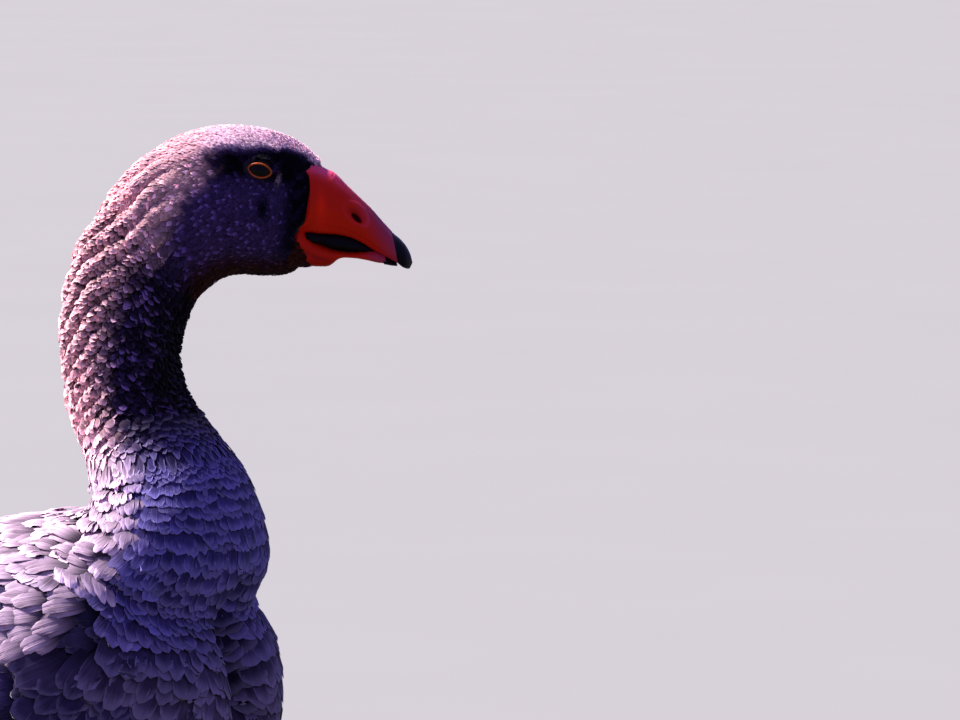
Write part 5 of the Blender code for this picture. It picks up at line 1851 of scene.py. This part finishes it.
def tube_grid(line, radius, columns, flat=1.0):
    """Rings round a line of points (rows, 3), square to it: the grid and the angles from the top."""
    way = unit(np.gradient(line, axis=0))
    side = unit(np.cross(way, UP + np.array([1e-3, 0, 0])))
    top = np.cross(side, way)
    turn = round_angles(columns)[None, :, None]
    radius = np.asarray(radius)[:, None, None]
    ring = top[:, None] * np.cos(turn) * flat + side[:, None] * np.sin(turn)
    return line[:, None] + ring * radius, turn[..., 0]


def scutes(along, turn, apart, deep):
    """Overlapping plates on the upper or front half, each rising towards the next; fine pebbles behind."""
    along = along[:, None] / apart
    plates = deep * ((along % 1) ** 1.5 - 0.4) * fade(np.cos(turn), -0.1, 0.35)
    pebbles = deep * 0.5 * np.sin(along * TURN * 1.5) * np.sin(turn * 9 + along * 3)
    return plates + pebbles * fade(np.cos(turn), 0.2, -0.3)


def leg_shell(grid, sign, dusk=0.0, floor=None):
    """A closed shell of leathery skin on either side, no lower than the floor where one is given."""
    if floor is not None:
        grid[..., 2] = np.maximum(grid[..., 2], floor)
    mottled = 0.5 + 0.5 * noise_wave(grid[..., 0] * 0.5, grid[..., 2] * 0.35)
    return shell(body_place(grid, sign), {"tint": mottled * 0.5, "dusk": dusk})


class GOOSE_OT_legs(Piece, bpy.types.Operator):
    """Scaled shanks, webbed feet flat on the floor, hind toes and claws."""

    bl_idname = "goose.legs"
    bl_label = "Legs"

    def make(self, scene):
        legs = scene.goose_legs
        dark, tip = [v * 0.6 for v in legs.skin], [v * 0.4 for v in legs.claw]
        scaly = dict(cells=0.22, Specular_IOR_Level=0.4)
        hide = skin_tinted("leg_scales", legs.skin, dark, 0.5, 520.0, 0.15 * MM, **scaly)
        horn = skin_tinted("claw", legs.claw, tip, 0.35, 900.0, 0.05 * MM, Specular_IOR_Level=0.5)
        for side, sign in SIDES:
            self.shank(side, sign, legs, hide)
            self.foot(side, sign, hide, horn)
            self.hind_toe(side, sign, hide, horn)

    @staticmethod
    def shank(side, sign, legs, finish):
        """From just inside the thigh's feathers round the hock and straight down to the ankle.

        The front of the shank is its top side: the rings start from the side turned up and forward."""
        way = unit(HOCK - HIP)
        bends = [HOCK * (1 - share) + ANKLE * share for share in (0.18, 0.5)]
        knots = np.array([HOCK - way * 3, HOCK + way * 1.5, *bends, ANKLE + [0, 0, 7], ANKLE])
        at = run_length(knots)
        share = np.linspace(0, 1, 170)
        line = np.stack([smooth_curve(at, knots[:, k], share * at[-1]) for k in range(3)], -1)
        grid, turn = tube_grid(line, smooth_curve(*SHANK_RADIUS, share), 60)
        grid = pushed(grid, scutes(share * at[-1], turn, legs.scute / MM, SHANK_PLATE))
        build_shells(f"shank_skin_{side}", [leg_shell(grid, sign)], finish, "leg", f"shank_{side}")

    def foot(self, side, sign, hide, horn):
        """Three toes with knuckles, the web between them hollow at its front edge, and the ankle's ball;
        nothing is lower than the floor."""
        root = np.array([ANKLE[0] + 1, ANKLE[1], 0])
        share = np.linspace(0, 1, 90)
        shells = []
        for name, degrees_out, long, knuckles in TOES:
            out = math.radians(degrees_out)
            way = np.array([math.cos(out), math.sin(out), 0])
            radius = TOE_RADIUS[0] + (TOE_RADIUS[1] - TOE_RADIUS[0]) * share
            radius = radius * (1 + 0.08 * sum(bell(share, at, 0.05) for at in knuckles))
            radius = radius * np.sqrt(np.clip((1.012 - share) / 0.05, 0.05, 1))
            line = root + way * (share * long - 2)[:, None] + UP * (radius * 0.86)[:, None]
            grid, turn = tube_grid(line, radius, 36)
            grid = pushed(grid, scutes(share * long, turn, *TOE_PLATES))
            shells.append(leg_shell(grid, sign, floor=0))
            tip = root + way * (long - 3.2) + UP * TOE_RADIUS[1] * 0.95
            self.claw(f"{name}_{side}", tip, way, CLAW_LENGTH, CLAW_RADIUS, sign, horn)
        shells.append(self.web(root, sign))
        polar, turn = np.linspace(0.03, math.pi - 0.03, 28)[:, None], round_angles(40)[None, :]
        ball = np.sin(polar) * np.cos(turn), np.sin(polar) * np.sin(turn), np.cos(polar) + 0 * turn
        ball = np.stack(ball, -1) * BALL_RADII + root + BALL_MIDDLE
        ball = pushed(ball, 0.22 * noise_wave(turn * 9 + 0 * polar, polar * 12 + 0 * turn))
        shells.append(leg_shell(ball, sign, floor=0))
        build_shells(f"foot_skin_{side}", shells, hide, "leg", f"foot_{side}", crease=50)

    @staticmethod
    def web(root, sign):
        """A thin closed sheet in polar form: the angle runs from the inner toe to the outer, the reach from
        the root to an edge that is hollow between two toes, with fine folds across it. Its rings go over
        the top and back below."""
        toe_angles = [toe[1] for toe in TOES]
        angle = np.linspace(toe_angles[0], toe_angles[-1], WEB_COLUMNS)[:, None]
        long = np.interp(angle, toe_angles, [toe[2] for toe in TOES])
        part = np.interp(angle, toe_angles, [0, 1, 2]) % 1
        between = part * (1 - part)
        share = np.linspace(0.02, 1, WEB_ROWS)
        share = np.concatenate([share, share[::-1]])[None, :]
        top = (np.arange(share.size) < WEB_ROWS)[None, :]
        far = long * 0.86 * (1 - 0.55 * between) * share
        folds = 1.4 * np.sin(far * 1.3 + 2 * np.sin(part * TURN)) * between
        thick = 2.0 + 0.9 * (1.0 - 1.4 * between) * (1 - share) + folds * 0.5
        height = np.where(top, thick * np.clip((1 - share) / 0.03 + 0.35, 0.35, 1), 0.0)
        radians = np.radians(angle)
        grid = root + np.stack([far * np.cos(radians), far * np.sin(radians), height], -1) - [2, 0, 0]
        return leg_shell(grid, sign, 0.05)

    @staticmethod
    def claw(name, tip, way, long, thick, sign, finish):
        """A blunt cone, bent a little down."""
        share = np.linspace(0, 1, 26)
        line = tip + way * (share * long)[:, None] - UP * (1.9 * share**2)[:, None]
        radius = thick * np.sqrt(np.clip(1 - share**1.6, 0.01, 1)) * (1 - 0.35 * share)
        grid, turn = tube_grid(line, radius, 20, flat=0.85)
        grid = pushed(grid, 0.05 * np.sin(share * 40)[:, None] + 0 * turn)
        grid[..., 2] = np.maximum(grid[..., 2], 0.02)
        fields = {"tint": fade(share, 0, 1)[:, None] * 0.8, "dusk": 0.0}
        shells = [shell(body_place(grid, sign), fields)]
        build_shells(f"toenail_{name}", shells, finish, "horn", f"claw_{name}")

    def hind_toe(self, side, sign, hide, horn):
        start, end = HIND_TOE
        share = np.linspace(0, 1, 40)
        line = start + (end - start) * share[:, None] + UP * (0.8 * np.sin(share * math.pi))[:, None]
        radius = (3.7 - 1.0 * share) * np.sqrt(np.clip((1.02 - share) / 0.12, 0.1, 1))
        grid, turn = tube_grid(line, radius, 28)
        grid = pushed(grid, scutes(share * HIND_PLATED, turn, *HIND_PLATES))
        build_shells(f"hind_toe_skin_{side}", [leg_shell(grid, sign)], hide, "leg", f"hind_toe_{side}")
        way = unit(end - start)
        self.claw(f"hind_{side}", end - way * 1.2, way, HIND_CLAW_LENGTH, HIND_CLAW_RADIUS, sign, horn)


# ---------------------------------------------------------------- stage

FLOOR_HALF = 60.0
PALE = (0.62, 0.61, 0.62, 1)  # the floor as it looks under the key light, and all that is seen past it
SKY = (0.38, 0.36, 1.0, 1)
KEY_HIGH, KEY_BEHIND, KEY_WIDE = math.radians(49), math.radians(20), math.radians(9)
KEY_COLOUR, KEY_AWAY = (1.0, 0.92, 0.95), 3.0


class GOOSE_OT_stage(Piece, bpy.types.Operator):
    """A plain pale floor, a soft key light from the upper left behind, a dim violet surround and the
    camera."""

    bl_idname = "goose.stage"
    bl_label = "Stage"

    def make(self, scene):
        stage = scene.goose_stage
        self.floor(scene, stage)
        right = np.array([math.cos(stage.azimuth), math.sin(stage.azimuth), 0])
        toward = np.array([math.sin(stage.azimuth), -math.cos(stage.azimuth), 0])
        aim = np.array([NECK_X, 0, 0]) + stage.aim_ahead * right + np.array([0, 0, stage.aim_height])
        self.camera(scene, stage, aim, toward)
        level = -right * math.cos(KEY_BEHIND) - toward * math.sin(KEY_BEHIND)
        lamp = aim + (level * math.cos(KEY_HIGH) + UP * math.sin(KEY_HIGH)) * KEY_AWAY
        self.key_light(scene, stage, lamp, aim)
        scene.world = self.surround(stage)
        scene.view_settings.view_transform = "Standard"

    @staticmethod
    def surround(stage):
        """A dim violet light from all round; where the camera sees past the floor it is as pale as the
        floor."""
        world = bpy.data.worlds.new("surround")
        world.use_nodes = True
        tree = world.node_tree
        background = tree.nodes["Background"]
        seen = wire(tree, "LightPath", "Is Camera Ray")
        tint(seen, SKY, PALE).into(background.inputs["Color"])
        (seen * (1 - stage.fill) + stage.fill).into(background.inputs["Strength"])
        return world

    @staticmethod
    def floor(scene, stage):
        """Pale to the camera and dark to the bird, so that it throws little light up."""
        made, tree, shader = new_finish("studio_floor", 0.9)
        light = noise(own_place(tree), 3.0, 2.0) * 0.05 + 0.97
        seen, dim = wire(tree, "LightPath", "Is Camera Ray"), [v * 0.25 for v in stage.floor]
        scaled(tint(seen, opaque(dim), opaque(stage.floor)), light).into(shader.inputs["Base Color"])
        mesh = bpy.data.meshes.new("floor")
        corners = [(x * FLOOR_HALF, y * FLOOR_HALF, 0) for x, y in ((-1, -1), (1, -1), (1, 1), (-1, 1))]
        mesh.from_pydata(corners, [], [(0, 1, 2, 3)])
        mesh.materials.append(made)
        floor = bpy.data.objects.new("floor", mesh)
        scene.collection.objects.link(floor)

    @staticmethod
    def aimed(scene, name, data, at, aim):
        """An object whose -Z looks from at to aim, with +Y as far up as it can be."""
        back = unit(at - aim)
        right = unit(np.cross(UP, back))
        up = np.cross(back, right)
        made = bpy.data.objects.new(name, data)
        rows = [[right[k], up[k], back[k], at[k]] for k in range(3)]
        made.matrix_world = Matrix([*rows, (0, 0, 0, 1)])
        scene.collection.objects.link(made)
        return made

    def camera(self, scene, stage, aim, toward):
        data = bpy.data.cameras.new("camera")
        data.sensor_width = 36.0
        data.lens = data.sensor_width * stage.distance / stage.width
        data.clip_end = 200.0
        at = aim + (toward * math.cos(stage.elevation) + UP * math.sin(stage.elevation)) * stage.distance
        scene.camera = self.aimed(scene, "camera", data, at, aim)

    def key_light(self, scene, stage, at, aim):
        """A far lamp: its light is parallel, and its disc looks a few degrees wide, which softens the
        shadows."""
        data = bpy.data.lights.new("key_light", "SUN")
        data.energy, data.angle, data.color = stage.key, KEY_WIDE, KEY_COLOUR
        self.aimed(scene, "key_light", data, at, aim)


# ---------------------------------------------------------------- panel and run

PIECES = (
    GOOSE_OT_skin, GOOSE_OT_head_coat, GOOSE_OT_neck_coat, GOOSE_OT_crop_coat, GOOSE_OT_body_coat,
    GOOSE_OT_thigh_coat, GOOSE_OT_wing_feathers, GOOSE_OT_tail_feathers, GOOSE_OT_eyes, GOOSE_OT_bill,
    GOOSE_OT_legs, GOOSE_OT_stage,
)
SETTINGS = (
    ("goose_plumage", GoosePlumage),
    ("goose_bill", GooseBill),
    ("goose_legs", GooseLegs),
    ("goose_stage", GooseStage),
)


class GOOSE_PT_panel(bpy.types.Panel):
    """Lists the goose's pieces and their settings."""

    bl_idname = "GOOSE_PT_panel"
    bl_label = "Domestic Goose"
    bl_space_type = "VIEW_3D"
    bl_region_type = "UI"
    bl_category = "Goose"

    def draw(self, context):
        for piece in PIECES:
            self.layout.operator(piece.bl_idname)
        for key, kind in SETTINGS:
            box = self.layout.box()
            box.label(text=kind.__doc__)
            for name in kind.__annotations__:
                box.prop(getattr(context.scene, key), name)


def register():
    for key, kind in SETTINGS:
        bpy.utils.register_class(kind)
        setattr(bpy.types.Scene, key, bpy.props.PointerProperty(type=kind))
    for kind in (*PIECES, GOOSE_PT_panel):
        bpy.utils.register_class(kind)


def unregister():
    for kind in (GOOSE_PT_panel, *reversed(PIECES)):
        bpy.utils.unregister_class(kind)
    for key, kind in reversed(SETTINGS):
        delattr(bpy.types.Scene, key)
        bpy.utils.unregister_class(kind)


def main():
    register()
    for piece in PIECES:
        getattr(bpy.ops.goose, piece.bl_idname.split(".")[1])()


if __name__ == "__main__":
    main()
